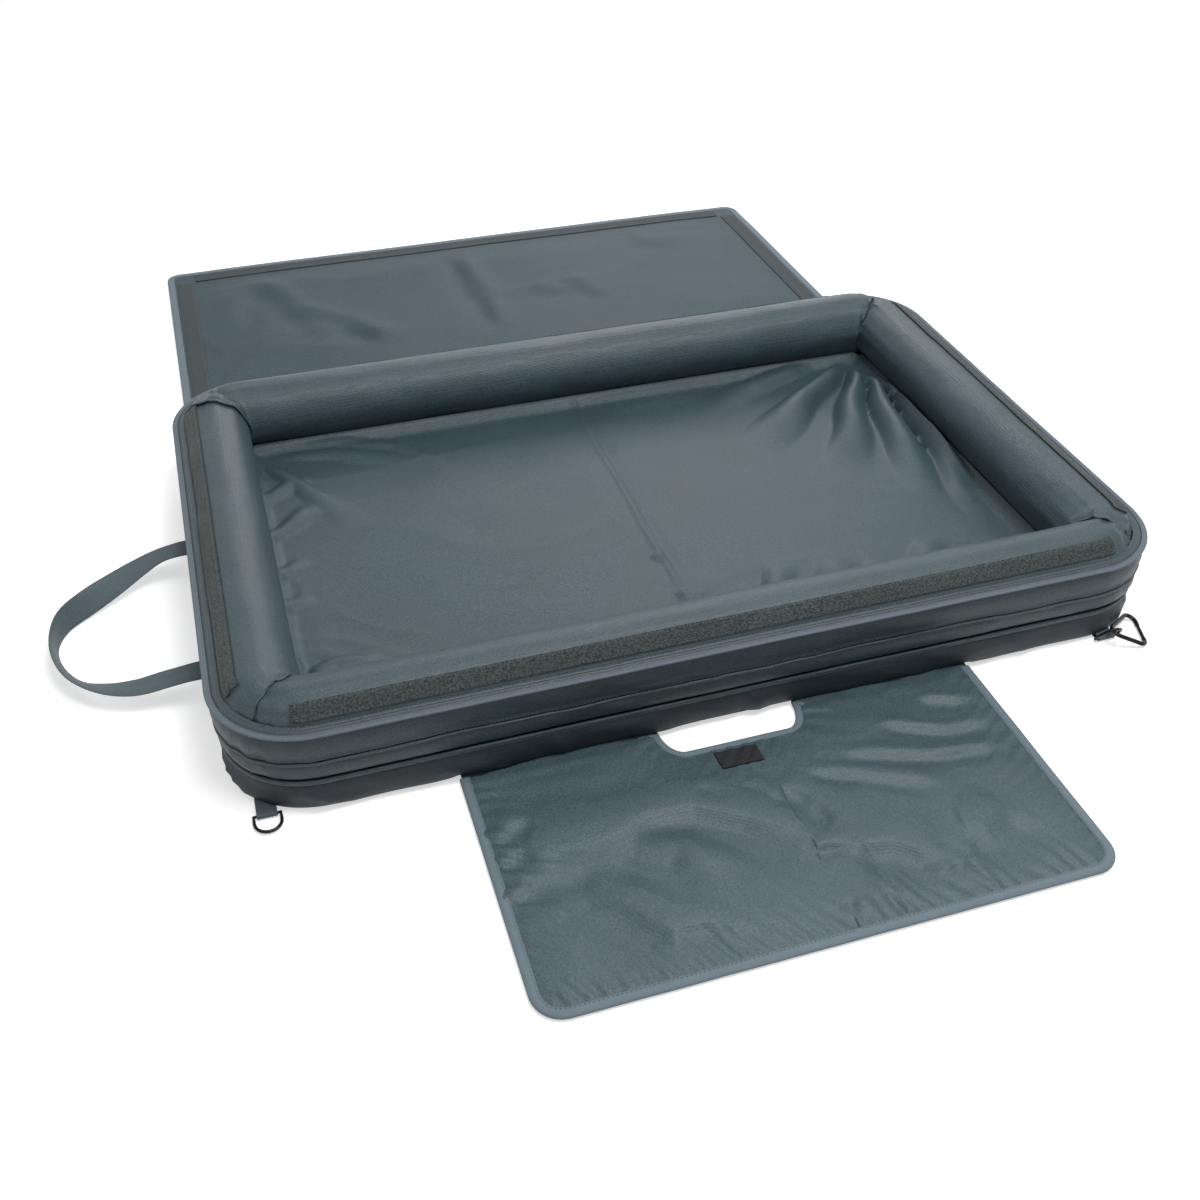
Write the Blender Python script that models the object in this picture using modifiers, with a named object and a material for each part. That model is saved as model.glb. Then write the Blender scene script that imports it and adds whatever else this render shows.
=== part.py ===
# Unhooking mat: a padded, open-topped mat with foam bolsters round a soft floor, a cover flap thrown open
# behind it and a kneeling mat in front. It folds in half about its centre line.
# Metres, +Z up. The origin is on the floor under the middle of the mat, +X runs along its length and +Y
# towards the flap. Pieces that cross the fold line are made in two halves, left and right.
import math

import bmesh
import bpy
from mathutils import Matrix, Vector

# The mat
MAT_LENGTH = 1.050
MAT_WIDTH = 0.702
CORNER_RADIUS = 0.097
FIT_GAP = 0.0004
FOLD_OVERREACH = 0.0030
CLOTH = 0.0015
ARC_STEPS = 6

# Base: the tray of cloth with the lower skirt, and the foam slab in it
SKIRT_HEIGHT = 0.0370
SKIRT_FOOT_INSET = 0.0100
SKIRT_BULGE_INSET = 0.0042
SKIRT_TOP_INSET = 0.0075
SKIRT_TURN_HEIGHT = 0.0080
SKIRT_BULGE_HEIGHT = 0.0280
SLAB_INSET = 0.0118
SLAB_TOP = 0.0360

# Wall above the skirt: piping roll, side panel, rim tape
PIPING_RADIUS = 0.0024
PIPING_INSET = 0.0064
PANEL_TOP = 0.1003
PANEL_FOOT_INSET = 0.0075
PANEL_BULGE_INSET = 0.0045
PANEL_TOP_INSET = 0.0085
PANEL_RIDGE_SHARE = 0.40
PANEL_SHOULDER_SHARE = 0.82
RIM_TAPE_DEPTH = 0.0125
RIM_TAPE_THICKNESS = 0.0030

# Bolsters: an oval foam roll in a sleeve
BOLSTER_INSET = 0.0505
BOLSTER_HALF_WIDTH = 0.0425
BOLSTER_HALF_HEIGHT = 0.0440
SLEEVE_CLOTH = 0.0012
BOLSTER_STEPS = 20

# Loop strips on the bolsters
STRIP_THICKNESS = 0.0012
STRIP_ANGLES = (40, 54, 72)
FRONT_STRIP_END_INSET = 0.078
END_STRIP_END_INSET = 0.076

# Floor liner. Pleats fan out over its right half from the rear corner, where the seam draws the cloth in.
LINER_INSET = 0.0760
LINER_COLUMNS = 26
LINER_ROWS = 22
PLEAT_DEGREES = (38, 52, 65, 77, 87)
PLEAT_LENGTHS = (0.220, 0.290, 0.335, 0.385, 0.430)
PLEAT_HEIGHT = 0.0090
PLEAT_HALF_WIDTH = 0.0300
PLEAT_CORNER_INSET = 0.0910
PLEAT_EDGE_FADE = 0.0300
PUCKER_HEIGHT = 0.0050
PUCKER_PITCH = 0.0620
PUCKER_LENGTH = 0.0900
PUCKER_START = 0.0900
PUCKER_END = 0.3400

# Cover flap, thrown open: a drop behind the rear wall, then the panel on the floor. Closed, the drop slopes
# up over the rear bolster by its tilt.
COVER_HINGE_OUT = 0.0012
COVER_HINGE_HEIGHT = 0.1065
COVER_DROP_TILT = math.radians(24.5)
COVER_DROP_START = 0.0030
COVER_MID_HEIGHT = 0.0020
COVER_HALF_WIDTH = 0.515
COVER_DROP_HALF_WIDTH = 0.425
COVER_PANEL_LENGTH = 0.5867
COVER_TAPER_LENGTH = 0.075
COVER_CORNER_RADIUS = 0.022
COVER_DROP_STOP = 0.0013
COVER_PANEL_START = 0.0011
TAPE_CLOTH = 0.0007
COVER_TAPE_WIDTH = 0.0110
TAPE_GRIP = 0.0030
HOOK_WIDTH = 0.0250
HOOK_THICKNESS = 0.0010
HOOK_INSET = 0.0150
HOOK_END_INSET = 0.0450

# Kneeling mat
KNEEL_HALF_WIDTH = 0.288
KNEEL_SHIFT = -0.0105
KNEEL_LENGTH = 0.2993
KNEEL_HINGE_OUT = 0.0015
KNEEL_LOWER_LENGTH = 0.1225
KNEEL_CORNER_RADIUS = 0.030
KNEEL_UNDERSIDE = 0.0018
KNEEL_EDGE_THICKNESS = 0.0030
KNEEL_THICKNESS = 0.0115
KNEEL_CROWN_REACH = 0.045
KNEEL_RIPPLE = 0.0010
KNEEL_RIPPLE_PITCH = 0.125
KNEEL_TAPE_WIDTH = 0.0160
KNEEL_CROWN_START = 0.0170
KNEEL_COLUMN_PITCH = 0.022
KNEEL_ROWS = 4
HAND_HOLE_HALF_WIDTH = 0.0760
HAND_HOLE_RAMP = 0.0120
HAND_HOLE_DEPTH = 0.0353
LABEL_WIDTH = 0.0450
LABEL_DEPTH = 0.0260
LABEL_EDGE = 0.0008
LABEL_STEP = 0.0135
LABEL_THICKNESS = 0.0008

# Carry handles of webbing
WEBBING_WIDTH = 0.0300
WEBBING_THICKNESS = 0.0020
HANDLE_REACH = 0.1640
HANDLE_SPREAD = 0.2400
HANDLE_FLOOR_CLEARANCE = 0.0016
# Each stop: reach share, spread share, height share, share of a quarter turn that the webbing lies flat
HANDLE_SHARES = (
    (0.00, 0.50, 1.00, 1.00),
    (0.12, 0.50, 0.82, 1.00),
    (0.27, 0.48, 0.50, 0.85),
    (0.45, 0.42, 0.22, 0.60),
    (0.66, 0.31, 0.06, 0.35),
    (0.85, 0.18, 0.00, 0.10),
    (0.97, 0.06, 0.00, 0.00),
    (1.00, -0.08, 0.00, 0.00),
    (0.96, -0.23, 0.00, 0.05),
    (0.85, -0.37, 0.02, 0.20),
    (0.68, -0.46, 0.10, 0.40),
    (0.48, -0.50, 0.28, 0.62),
    (0.28, -0.51, 0.55, 0.86),
    (0.12, -0.50, 0.84, 1.00),
    (0.00, -0.50, 1.00, 1.00),
)

# Pegging rings on webbing tabs, and how far in from the mat's end the front ones stand
RING_WIRE = 0.0035
RING_INNER_WIDTH = 0.0230
RING_INNER_LENGTH = 0.0190
RING_STANDOFF = 0.0052
RING_HEIGHT = 0.0033
RING_ARC_STEPS = 10
TAB_WIDTH = 0.0200
TAB_THICKNESS = 0.0010
TAB_COLUMNS = 5
FRONT_LEFT_RING_INSET = 0.037
FRONT_RIGHT_RING_INSET = 0.073
CARRIED_RING_TILT = math.radians(60)

# Carabiner on the front right ring
CARABINER_WIRE = 0.0050
CARABINER_BEND = 0.0080
CARABINER_BEND_STEPS = 7
CARABINER_HINGE_CORNER = (0.0343, 0.0228)
CARABINER_NOSE_CORNER = (0.0238, -0.0087)
GATE_WIRE = 0.0040
GATE_END = 0.0042
GATE_TONGUE = 0.0016
GATE_SHOULDER_GAP = 0.0009
GATE_PIN = 0.0014
PIN_CLEARANCE = 0.0003
CUT_OVERRUN = 0.0040

# Where the sizes above lead
HALF_LENGTH = MAT_LENGTH / 2
HALF_WIDTH = MAT_WIDTH / 2
SEAM_HEIGHT = SKIRT_HEIGHT + FIT_GAP + PIPING_RADIUS
PANEL_FOOT = SEAM_HEIGHT + PIPING_RADIUS + FIT_GAP
BOLSTER_HEIGHT = SLAB_TOP + FIT_GAP + BOLSTER_HALF_HEIGHT
COVER_HINGE_Y = HALF_WIDTH + COVER_HINGE_OUT
COVER_DROP_LENGTH = COVER_HINGE_HEIGHT - COVER_MID_HEIGHT
COVER_PANEL_EDGE = COVER_HINGE_Y + COVER_PANEL_START
COVER_FAR_EDGE = COVER_PANEL_EDGE + COVER_PANEL_LENGTH
KNEEL_HINGE_Y = -HALF_WIDTH - KNEEL_HINGE_OUT
KNEEL_FOLD_Y = KNEEL_HINGE_Y - KNEEL_LOWER_LENGTH
KNEEL_EDGE_TOP = KNEEL_UNDERSIDE + KNEEL_EDGE_THICKNESS
KNEEL_HINGE_HEIGHT = KNEEL_UNDERSIDE + KNEEL_THICKNESS + FIT_GAP / 2
SKIRT_LEAN = (SKIRT_FOOT_INSET - SKIRT_BULGE_INSET) / (SKIRT_TURN_HEIGHT - CLOTH / 2)
SKIRT_INSET_AT_KNEEL = SKIRT_FOOT_INSET - SKIRT_LEAN * (KNEEL_EDGE_TOP - CLOTH / 2)
KNEEL_NEAR_EDGE = SKIRT_INSET_AT_KNEEL - CLOTH - HALF_WIDTH
KNEEL_FAR_EDGE = KNEEL_NEAR_EDGE - KNEEL_LENGTH
LABEL_NEAR = KNEEL_NEAR_EDGE - HAND_HOLE_DEPTH - LABEL_STEP
HANDLE_ROOT = HALF_LENGTH - PIPING_INSET + PIPING_RADIUS + FIT_GAP
FOLD_LINE = FOLD_OVERREACH + FIT_GAP / 2
FOLD_HEIGHT = COVER_HINGE_HEIGHT + COVER_DROP_LENGTH * math.sin(COVER_DROP_TILT) + CLOTH

# The rear rings stand midway between the edge of the cover's drop and the mat's end
REAR_RING = (COVER_DROP_HALF_WIDTH + HALF_LENGTH) / 2
RING_PLACES = {
    ("front", -1): HALF_LENGTH - FRONT_LEFT_RING_INSET,
    ("front", 1): HALF_LENGTH - FRONT_RIGHT_RING_INSET,
    ("rear", -1): REAR_RING,
    ("rear", 1): REAR_RING,
}

SIDES = {"left": -1, "right": 1}
PARTS = "unhooking_mat"
CUTTERS = "cutters"


# Drawn size of the empties that mark the axes
PIVOT_MARK = 0.05


def clear_scene():
    for obj in list(bpy.data.objects):
        bpy.data.objects.remove(obj, do_unlink=True)
    for name in (PARTS, CUTTERS):
        collection = bpy.data.collections.new(name)
        bpy.context.scene.collection.children.link(collection)


def material(name, colour, roughness, metallic=0.0):
    made = bpy.data.materials.get(name)
    if made is None:
        made = bpy.data.materials.new(name)
        made.use_nodes = True
        shader = made.node_tree.nodes["Principled BSDF"]
        shader.inputs["Base Color"].default_value = (*colour, 1.0)
        shader.inputs["Roughness"].default_value = roughness
        shader.inputs["Metallic"].default_value = metallic
    return made


def finishes():
    return {
        "coated": material("coated_cloth", (0.085, 0.118, 0.128), 0.45),
        "skirt": material("skirt_cloth", (0.045, 0.064, 0.075), 0.60),
        "tape": material("binding_tape", (0.165, 0.190, 0.225), 0.70),
        "loop": material("loop_pile", (0.085, 0.098, 0.090), 0.95),
        "hook": material("hook_strip", (0.050, 0.070, 0.075), 0.80),
        "webbing": material("webbing", (0.090, 0.115, 0.135), 0.75),
        "foam": material("foam", (0.240, 0.240, 0.230), 0.90),
        "metal": material("black_metal", (0.012, 0.013, 0.016), 0.35, 0.80),
        "label": material("bare_label", (0.015, 0.016, 0.018), 0.65),
    }


def keep(name, mesh, finish, collection=PARTS):
    """The bmesh as a named object, its faces pointing out."""
    bmesh.ops.recalc_face_normals(mesh, faces=mesh.faces)
    data = bpy.data.meshes.new(name)
    mesh.to_mesh(data)
    mesh.free()
    obj = bpy.data.objects.new(name, data)
    bpy.data.collections[collection].objects.link(obj)
    if finish is not None:
        data.materials.append(finish)
    return obj


def skin(rows, joined=False):
    """A surface through rows of points, each row extruded from the last; joined closes it to a tube."""
    mesh = bmesh.new()
    line = [mesh.verts.new(point) for point in rows[0]]
    edges = [mesh.edges.new(pair) for pair in zip(line, line[1:])]
    for row in rows[1:] + rows[:1] * joined:
        grown = bmesh.ops.extrude_edge_only(mesh, edges=edges)["geom"]
        fresh = {item for item in grown if isinstance(item, bmesh.types.BMVert)}
        line = [next(e.other_vert(v) for e in v.link_edges if e.other_vert(v) in fresh) for v in line]
        edges = [item for item in grown if isinstance(item, bmesh.types.BMEdge)]
        for vert, point in zip(line, row):
            vert.co = point
    bmesh.ops.remove_doubles(mesh, verts=mesh.verts, dist=1e-6)
    return mesh


def thicken(obj, thickness):
    solid = obj.modifiers.new("cloth", "SOLIDIFY")
    solid.thickness = thickness
    solid.offset = 0
    solid.use_even_offset = True
    return obj


def smooth(obj, angle=math.radians(40)):
    obj.data.shade_smooth()
    obj.data.set_sharp_from_angle(angle=angle)
    return obj


def close_ends(mesh):
    open_edges = [edge for edge in mesh.edges if edge.is_boundary]
    bmesh.ops.holes_fill(mesh, edges=open_edges, sides=0)


def cut(mesh, point, normal):
    """Takes away what lies beyond the plane, on the side that the normal points to."""
    geometry = mesh.verts[:] + mesh.edges[:] + mesh.faces[:]
    bmesh.ops.bisect_plane(mesh, geom=geometry, plane_co=point, plane_no=normal, clear_outer=True)


def fold_edge(side):
    """Where a half ends at the fold line: the left one just reaches past the middle."""
    return FOLD_OVERREACH if side < 0 else FOLD_OVERREACH + FIT_GAP


def half_outline(side, inset, radius=CORNER_RADIUS, steps=ARC_STEPS):
    """Points of half the mat's rounded outline, from the fold line in front round the end to the rear."""
    centre_x, centre_y = side * (HALF_LENGTH - radius), HALF_WIDTH - radius
    reach = radius - inset
    points = [Vector((fold_edge(side), inset - HALF_WIDTH))]
    for turn in (0, 1):
        for step in range(steps + 1):
            angle = math.pi / 2 * (turn + step / steps)
            across = side * math.sin(angle)
            points.append(
                Vector((centre_x + reach * across, (2 * turn - 1) * centre_y - reach * math.cos(angle)))
            )
    points.append(Vector((fold_edge(side), HALF_WIDTH - inset)))
    return points


def wall_row(side, inset, height):
    return [Vector((*point, height)) for point in half_outline(side, inset)]


def skirt_reach(x, inset=SKIRT_BULGE_INSET):
    """How far out the skirt comes, along Y, at a place along the mat; past its end, as at the end."""
    radius = CORNER_RADIUS - inset
    past = max(0.0, abs(x) - (HALF_LENGTH - CORNER_RADIUS))
    return HALF_WIDTH - CORNER_RADIUS + math.sqrt(max(0.0, radius**2 - past**2))


def base_shell(name, side, looks):
    rows = [
        wall_row(side, SKIRT_FOOT_INSET, CLOTH / 2),
        wall_row(side, SKIRT_BULGE_INSET, SKIRT_TURN_HEIGHT),
        wall_row(side, SKIRT_BULGE_INSET, SKIRT_BULGE_HEIGHT),
        wall_row(side, SKIRT_TOP_INSET, SKIRT_HEIGHT),
    ]
    mesh = skin(rows)
    foot = [vert for vert in mesh.verts if abs(vert.co.z - CLOTH / 2) < CLOTH / 4]
    bmesh.ops.contextual_create(mesh, geom=foot + [e for e in mesh.edges if set(e.verts) <= set(foot)])
    thicken(keep(name, mesh, looks["skirt"]), CLOTH)


def base_slab(name, side, looks):
    mesh = bmesh.new()
    floor = [mesh.verts.new(point) for point in wall_row(side, SLAB_INSET, CLOTH + FIT_GAP)]
    face = mesh.faces.new(floor)
    grown = bmesh.ops.extrude_face_region(mesh, geom=[face])["geom"]
    lift = Vector((0, 0, SLAB_TOP - CLOTH - FIT_GAP))
    bmesh.ops.translate(mesh, vec=lift, verts=[v for v in grown if isinstance(v, bmesh.types.BMVert)])
    keep(name, mesh, looks["foam"])


def liner_lift(x, y):
    """How far the pleats and the puckers at the front edge lift the liner off the slab."""
    corner = Vector((HALF_LENGTH - PLEAT_CORNER_INSET, HALF_WIDTH - PLEAT_CORNER_INSET))
    away = corner - Vector((x, y))
    lift = 0.0
    for degrees, length in zip(PLEAT_DEGREES, PLEAT_LENGTHS):
        ray = Vector((math.cos(math.radians(degrees)), math.sin(math.radians(degrees))))
        along = away.dot(ray) / length
        aside = abs(away.cross(ray)) / (PLEAT_HALF_WIDTH * max(along, 0.0) ** 0.5 + FIT_GAP)
        if 0 < along < 1 and aside < 1:
            crest = math.sin(math.pi * along**0.5) * math.cos(aside * math.pi / 2) ** 2
            lift = max(lift, PLEAT_HEIGHT * crest)
    front = (y + HALF_WIDTH - LINER_INSET) / PUCKER_LENGTH
    place = (x - PUCKER_START) / (PUCKER_END - PUCKER_START)
    if 0 < front < 1 and 0 < place < 1:
        wave = math.sin(math.tau * (x - PUCKER_START) / PUCKER_PITCH) ** 2
        lift = max(lift, PUCKER_HEIGHT * wave * math.sin(math.pi * front) * math.sin(math.pi * place) ** 0.5)
    edge = min(HALF_LENGTH - abs(x), HALF_WIDTH - abs(y)) - LINER_INSET
    return lift * min(1.0, max(0.0, edge) / PLEAT_EDGE_FADE)


def floor_liner(name, side, looks):
    mid_height = SLAB_TOP + FIT_GAP + CLOTH / 2
    if side < 0:
        mesh = bmesh.new()
        mesh.faces.new([mesh.verts.new(point) for point in wall_row(side, LINER_INSET, mid_height)])
    else:
        rows = []
        for column in range(LINER_COLUMNS + 1):
            start, stop = fold_edge(side), HALF_LENGTH - LINER_INSET
            x = start + (stop - start) * column / LINER_COLUMNS
            reach = skirt_reach(x, LINER_INSET)
            ys = [reach * (2 * row / LINER_ROWS - 1) for row in range(LINER_ROWS + 1)]
            rows.append([Vector((x, y, mid_height + liner_lift(x, y))) for y in ys])
        mesh = skin(rows)
    smooth(thicken(keep(name, mesh, looks["coated"]), CLOTH))


def piping(name, side, looks):
    count = 6
    rows = []
    for step in range(count):
        angle = math.tau * step / count
        inset = PIPING_INSET + PIPING_RADIUS * math.cos(angle)
        rows.append(wall_row(side, inset, SEAM_HEIGHT + PIPING_RADIUS * math.sin(angle)))
    mesh = skin(rows, joined=True)
    close_ends(mesh)
    smooth(keep(name, mesh, looks["coated"]), math.radians(70))


def side_panel(name, side, looks):
    rise = PANEL_TOP - PANEL_FOOT
    rows = [
        wall_row(side, PANEL_FOOT_INSET, PANEL_FOOT),
        wall_row(side, PANEL_BULGE_INSET, PANEL_FOOT + rise * PANEL_RIDGE_SHARE / 2),
        wall_row(side, (PANEL_BULGE_INSET + PANEL_FOOT_INSET) / 2, PANEL_FOOT + rise * PANEL_RIDGE_SHARE),
        wall_row(side, PANEL_BULGE_INSET, PANEL_FOOT + rise * (PANEL_RIDGE_SHARE + PANEL_SHOULDER_SHARE) / 2),
        wall_row(side, PANEL_BULGE_INSET, PANEL_FOOT + rise * PANEL_SHOULDER_SHARE),
        wall_row(side, PANEL_TOP_INSET, PANEL_TOP),
    ]
    thicken(keep(name, skin(rows), looks["coated"]), CLOTH)


def rim_binding(name, side, looks):
    mid_height = PANEL_TOP + FIT_GAP + RIM_TAPE_THICKNESS / 2
    rows = [wall_row(side, 0, mid_height), wall_row(side, RIM_TAPE_DEPTH, mid_height)]
    thicken(keep(name, skin(rows), looks["tape"]), RIM_TAPE_THICKNESS)


def bolster_point(angle, grow=0.0):
    """Inset and height on the oval at this angle: 0 faces out, a quarter turn faces up."""
    inset = BOLSTER_INSET - (BOLSTER_HALF_WIDTH + grow) * math.cos(angle)
    return inset, BOLSTER_HEIGHT + (BOLSTER_HALF_HEIGHT + grow) * math.sin(angle)


def mitre_plane(side, end):
    """The upright plane through the corner where two bolsters meet; its normal points to the mat's end."""
    corner = Vector((side * (HALF_LENGTH - CORNER_RADIUS), end * (HALF_WIDTH - CORNER_RADIUS), 0))
    return corner, Vector((side, -end, 0)).normalized()


def bolster_skin(side, where, grow):
    rows = [wall_row(side, *bolster_point(math.tau * s / BOLSTER_STEPS, grow)) for s in range(BOLSTER_STEPS)]
    mesh = skin(rows, joined=True)
    half_gap = FIT_GAP / 2 + SLEEVE_CLOTH / 2
    if where == "end":
        for end in (-1, 1):
            corner, normal = mitre_plane(side, end)
            cut(mesh, corner + normal * half_gap, -normal)
    else:
        end = -1 if where == "front" else 1
        corner, normal = mitre_plane(side, end)
        cut(mesh, corner - normal * half_gap, normal)
        cut(mesh, Vector((0, 0, 0)), Vector((0, -end, 0)))
    return mesh


def bolster(side_name, where, looks):
    side = SIDES[side_name]
    sleeve = bolster_skin(side, where, -SLEEVE_CLOTH / 2)
    smooth(thicken(keep(f"bolster_sleeve_{where}_{side_name}", sleeve, looks["coated"]), SLEEVE_CLOTH))
    core = bolster_skin(side, where, -SLEEVE_CLOTH - FIT_GAP)
    close_ends(core)
    smooth(keep(f"bolster_foam_{where}_{side_name}", core, looks["foam"]))


def loop_strip(side_name, where, looks):
    side = SIDES[side_name]
    grow = FIT_GAP + STRIP_THICKNESS / 2
    rows = [wall_row(side, *bolster_point(math.radians(degrees), grow)) for degrees in STRIP_ANGLES]
    mesh = skin(rows)
    if where == "end":
        for end in (-1, 1):
            cut(mesh, Vector((0, end * (HALF_WIDTH - END_STRIP_END_INSET), 0)), Vector((0, end, 0)))
        cut(mesh, Vector((side * (HALF_LENGTH - CORNER_RADIUS), 0, 0)), Vector((-side, 0, 0)))
    else:
        cut(mesh, Vector((side * (HALF_LENGTH - FRONT_STRIP_END_INSET), 0, 0)), Vector((side, 0, 0)))
        cut(mesh, Vector((0, 0, 0)), Vector((0, 1, 0)))
    thicken(keep(f"loop_strip_{where}_{side_name}", mesh, looks["loop"]), STRIP_THICKNESS)


def cover_drop(name, side, looks):
    """The upright part of the cover behind the rear wall, from the rim down to the floor."""
    top, foot = COVER_HINGE_HEIGHT - COVER_DROP_START, COVER_MID_HEIGHT + COVER_DROP_STOP
    rows = [
        [Vector((x, COVER_HINGE_Y, z)) for x in (fold_edge(side), side * COVER_DROP_HALF_WIDTH)]
        for z in (top, foot)
    ]
    thicken(keep(name, skin(rows), looks["coated"]), CLOTH)


def cover_edge(side, inset):
    """The cover panel's outline from its taper, up the side and round the corner to the fold line."""
    radius = COVER_CORNER_RADIUS - inset
    side_x = side * (COVER_HALF_WIDTH - inset)
    points = [Vector((side_x, COVER_PANEL_EDGE + COVER_TAPER_LENGTH))]
    centre = Vector((side * (COVER_HALF_WIDTH - COVER_CORNER_RADIUS), COVER_FAR_EDGE - COVER_CORNER_RADIUS))
    for step in range(ARC_STEPS + 1):
        angle = math.pi / 2 * step / ARC_STEPS
        points.append(centre + radius * Vector((side * math.cos(angle), math.sin(angle))))
    points.append(Vector((fold_edge(side), COVER_FAR_EDGE - inset)))
    return points


def cover_panel(name, side, looks):
    outline = cover_edge(side, TAPE_GRIP)
    near = COVER_PANEL_EDGE
    outline += [Vector((fold_edge(side), near)), Vector((side * COVER_DROP_HALF_WIDTH, near))]
    mesh = bmesh.new()
    mesh.faces.new([mesh.verts.new((*point, COVER_MID_HEIGHT)) for point in outline])
    thicken(keep(name, mesh, looks["coated"]), CLOTH)


def folded_tape(edge_at, width, grip_thickness):
    """Tape folded over an edge: edge_at gives the outline at an inset; the fold is at inset 0."""
    rise = grip_thickness / 2 + FIT_GAP + TAPE_CLOTH / 2
    fold = TAPE_CLOTH / 2
    return [
        [Vector((*point, lift)) for point in edge_at(inset)]
        for inset, lift in ((width, rise), (fold, rise), (fold, -rise), (width, -rise))
    ]


def cover_binding(name, side, looks):
    rows = folded_tape(lambda inset: cover_edge(side, inset), COVER_TAPE_WIDTH, CLOTH)
    mesh = skin(rows)
    bmesh.ops.translate(mesh, vec=Vector((0, 0, COVER_MID_HEIGHT)), verts=mesh.verts)
    thicken(keep(name, mesh, looks["tape"]), TAPE_CLOTH)


def flat_strip(name, corners, mid_height, thickness, finish):
    mesh = bmesh.new()
    mesh.faces.new([mesh.verts.new((*corner, mid_height)) for corner in corners])
    thicken(keep(name, mesh, finish), thickness)


def hook_strips(side_name, looks):
    side = SIDES[side_name]
    mid_height = COVER_MID_HEIGHT + CLOTH / 2 + FIT_GAP + HOOK_THICKNESS / 2
    far = COVER_FAR_EDGE - HOOK_INSET
    outer = COVER_HALF_WIDTH - HOOK_INSET
    far_end = side * (COVER_HALF_WIDTH - HOOK_END_INSET)
    fold, near = fold_edge(side), far - HOOK_WIDTH
    corners = ((fold, far), (far_end, far), (far_end, near), (fold, near))
    flat_strip(f"hook_strip_far_{side_name}", corners, mid_height, HOOK_THICKNESS, looks["hook"])
    start = COVER_PANEL_EDGE + COVER_TAPER_LENGTH + HOOK_INSET
    stop = COVER_FAR_EDGE - HOOK_END_INSET
    corners = tuple((side * x, y) for x, y in (
        (outer, start), (outer, stop), (outer - HOOK_WIDTH, stop), (outer - HOOK_WIDTH, start)
    ))
    flat_strip(f"hook_strip_side_{side_name}", corners, mid_height, HOOK_THICKNESS, looks["hook"])


def kneel_near(x):
    """The kneeling mat's near edge, with the hand hole cut into it."""
    from_middle = abs(x - KNEEL_SHIFT)
    share = (HAND_HOLE_HALF_WIDTH - from_middle) / HAND_HOLE_RAMP + 0.5
    share = min(1.0, max(0.0, share))
    return KNEEL_NEAR_EDGE - HAND_HOLE_DEPTH * math.sin(share * math.pi / 2)


def kneel_far(x, inset):
    radius = KNEEL_CORNER_RADIUS - inset
    past = abs(x - KNEEL_SHIFT) - (KNEEL_HALF_WIDTH - KNEEL_CORNER_RADIUS)
    drop = radius - math.sqrt(max(0.0, radius**2 - max(0.0, past) ** 2))
    return KNEEL_FAR_EDGE + inset + drop


def kneel_inside(x, y):
    """How far a place on the pad is from its bound edge or, at the near end, from its sewn edge."""
    outer, far = KNEEL_HALF_WIDTH - abs(x - KNEEL_SHIFT), y - KNEEL_FAR_EDGE
    bound = min(outer, far)
    if max(outer, far) < KNEEL_CORNER_RADIUS:
        corner = Vector((KNEEL_CORNER_RADIUS - outer, KNEEL_CORNER_RADIUS - far))
        bound = KNEEL_CORNER_RADIUS - corner.length
    return min(bound, kneel_near(x) - y + KNEEL_CROWN_START)


def kneel_top(x, y):
    """Height of the pad's upper side: thin under the binding, crowned inside, with shallow ripples."""
    share = min(1.0, max(0.0, kneel_inside(x, y) - KNEEL_CROWN_START) / KNEEL_CROWN_REACH)
    crown = (KNEEL_THICKNESS - KNEEL_EDGE_THICKNESS) * math.sin(share * math.pi / 2)
    from_middle = abs(x - KNEEL_SHIFT) / HAND_HOLE_HALF_WIDTH - 1
    share *= min(1.0, max(0.0, from_middle))
    wave = math.sin(math.tau * (x + y / 2) / KNEEL_RIPPLE_PITCH) - 1
    return KNEEL_EDGE_TOP + crown + KNEEL_RIPPLE * share * wave


def kneel_columns(side):
    """Places along X where the pad has a row of points: close together at the hand hole and the tape."""
    start, edge = fold_edge(side), side * KNEEL_HALF_WIDTH + KNEEL_SHIFT
    ramp = HAND_HOLE_HALF_WIDTH * side + KNEEL_SHIFT
    insets = (TAPE_GRIP, KNEEL_CORNER_RADIUS / 3, KNEEL_CROWN_START, KNEEL_CORNER_RADIUS)
    fixed = [start] + [edge - side * inset for inset in insets]
    fixed += [ramp + HAND_HOLE_RAMP * share for share in (-0.5, -0.25, 0.0, 0.25, 0.5)]
    spare = round(abs(edge - start) / KNEEL_COLUMN_PITCH)
    free = [start + (edge - start) * step / spare for step in range(1, spare)]
    free = [x for x in free if min(abs(x - mark) for mark in fixed) > KNEEL_COLUMN_PITCH / 2]
    return sorted(fixed + free, key=lambda x: abs(x - start))


def cushion(name, columns, near, far, tucked, finish):
    """A pad with a flat underside and a crowned top. Its tucked margin at the far edge lies flat."""
    tops, floors = [], []
    for x in columns:
        start, stop = near(x), far(x)
        last = stop + tucked
        ys = [start + (last - start) * step / KNEEL_ROWS for step in range(KNEEL_ROWS + 1)]
        ys += [stop] * bool(tucked)
        tops.append([Vector((x, y, kneel_top(x, y))) for y in ys])
        floors.append([Vector((x, y, KNEEL_UNDERSIDE)) for y in ys])
    mesh = skin([top + floor[::-1] + top[:1] for top, floor in zip(tops, floors)])
    close_ends(mesh)
    smooth(keep(name, mesh, finish), math.radians(50))


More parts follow.
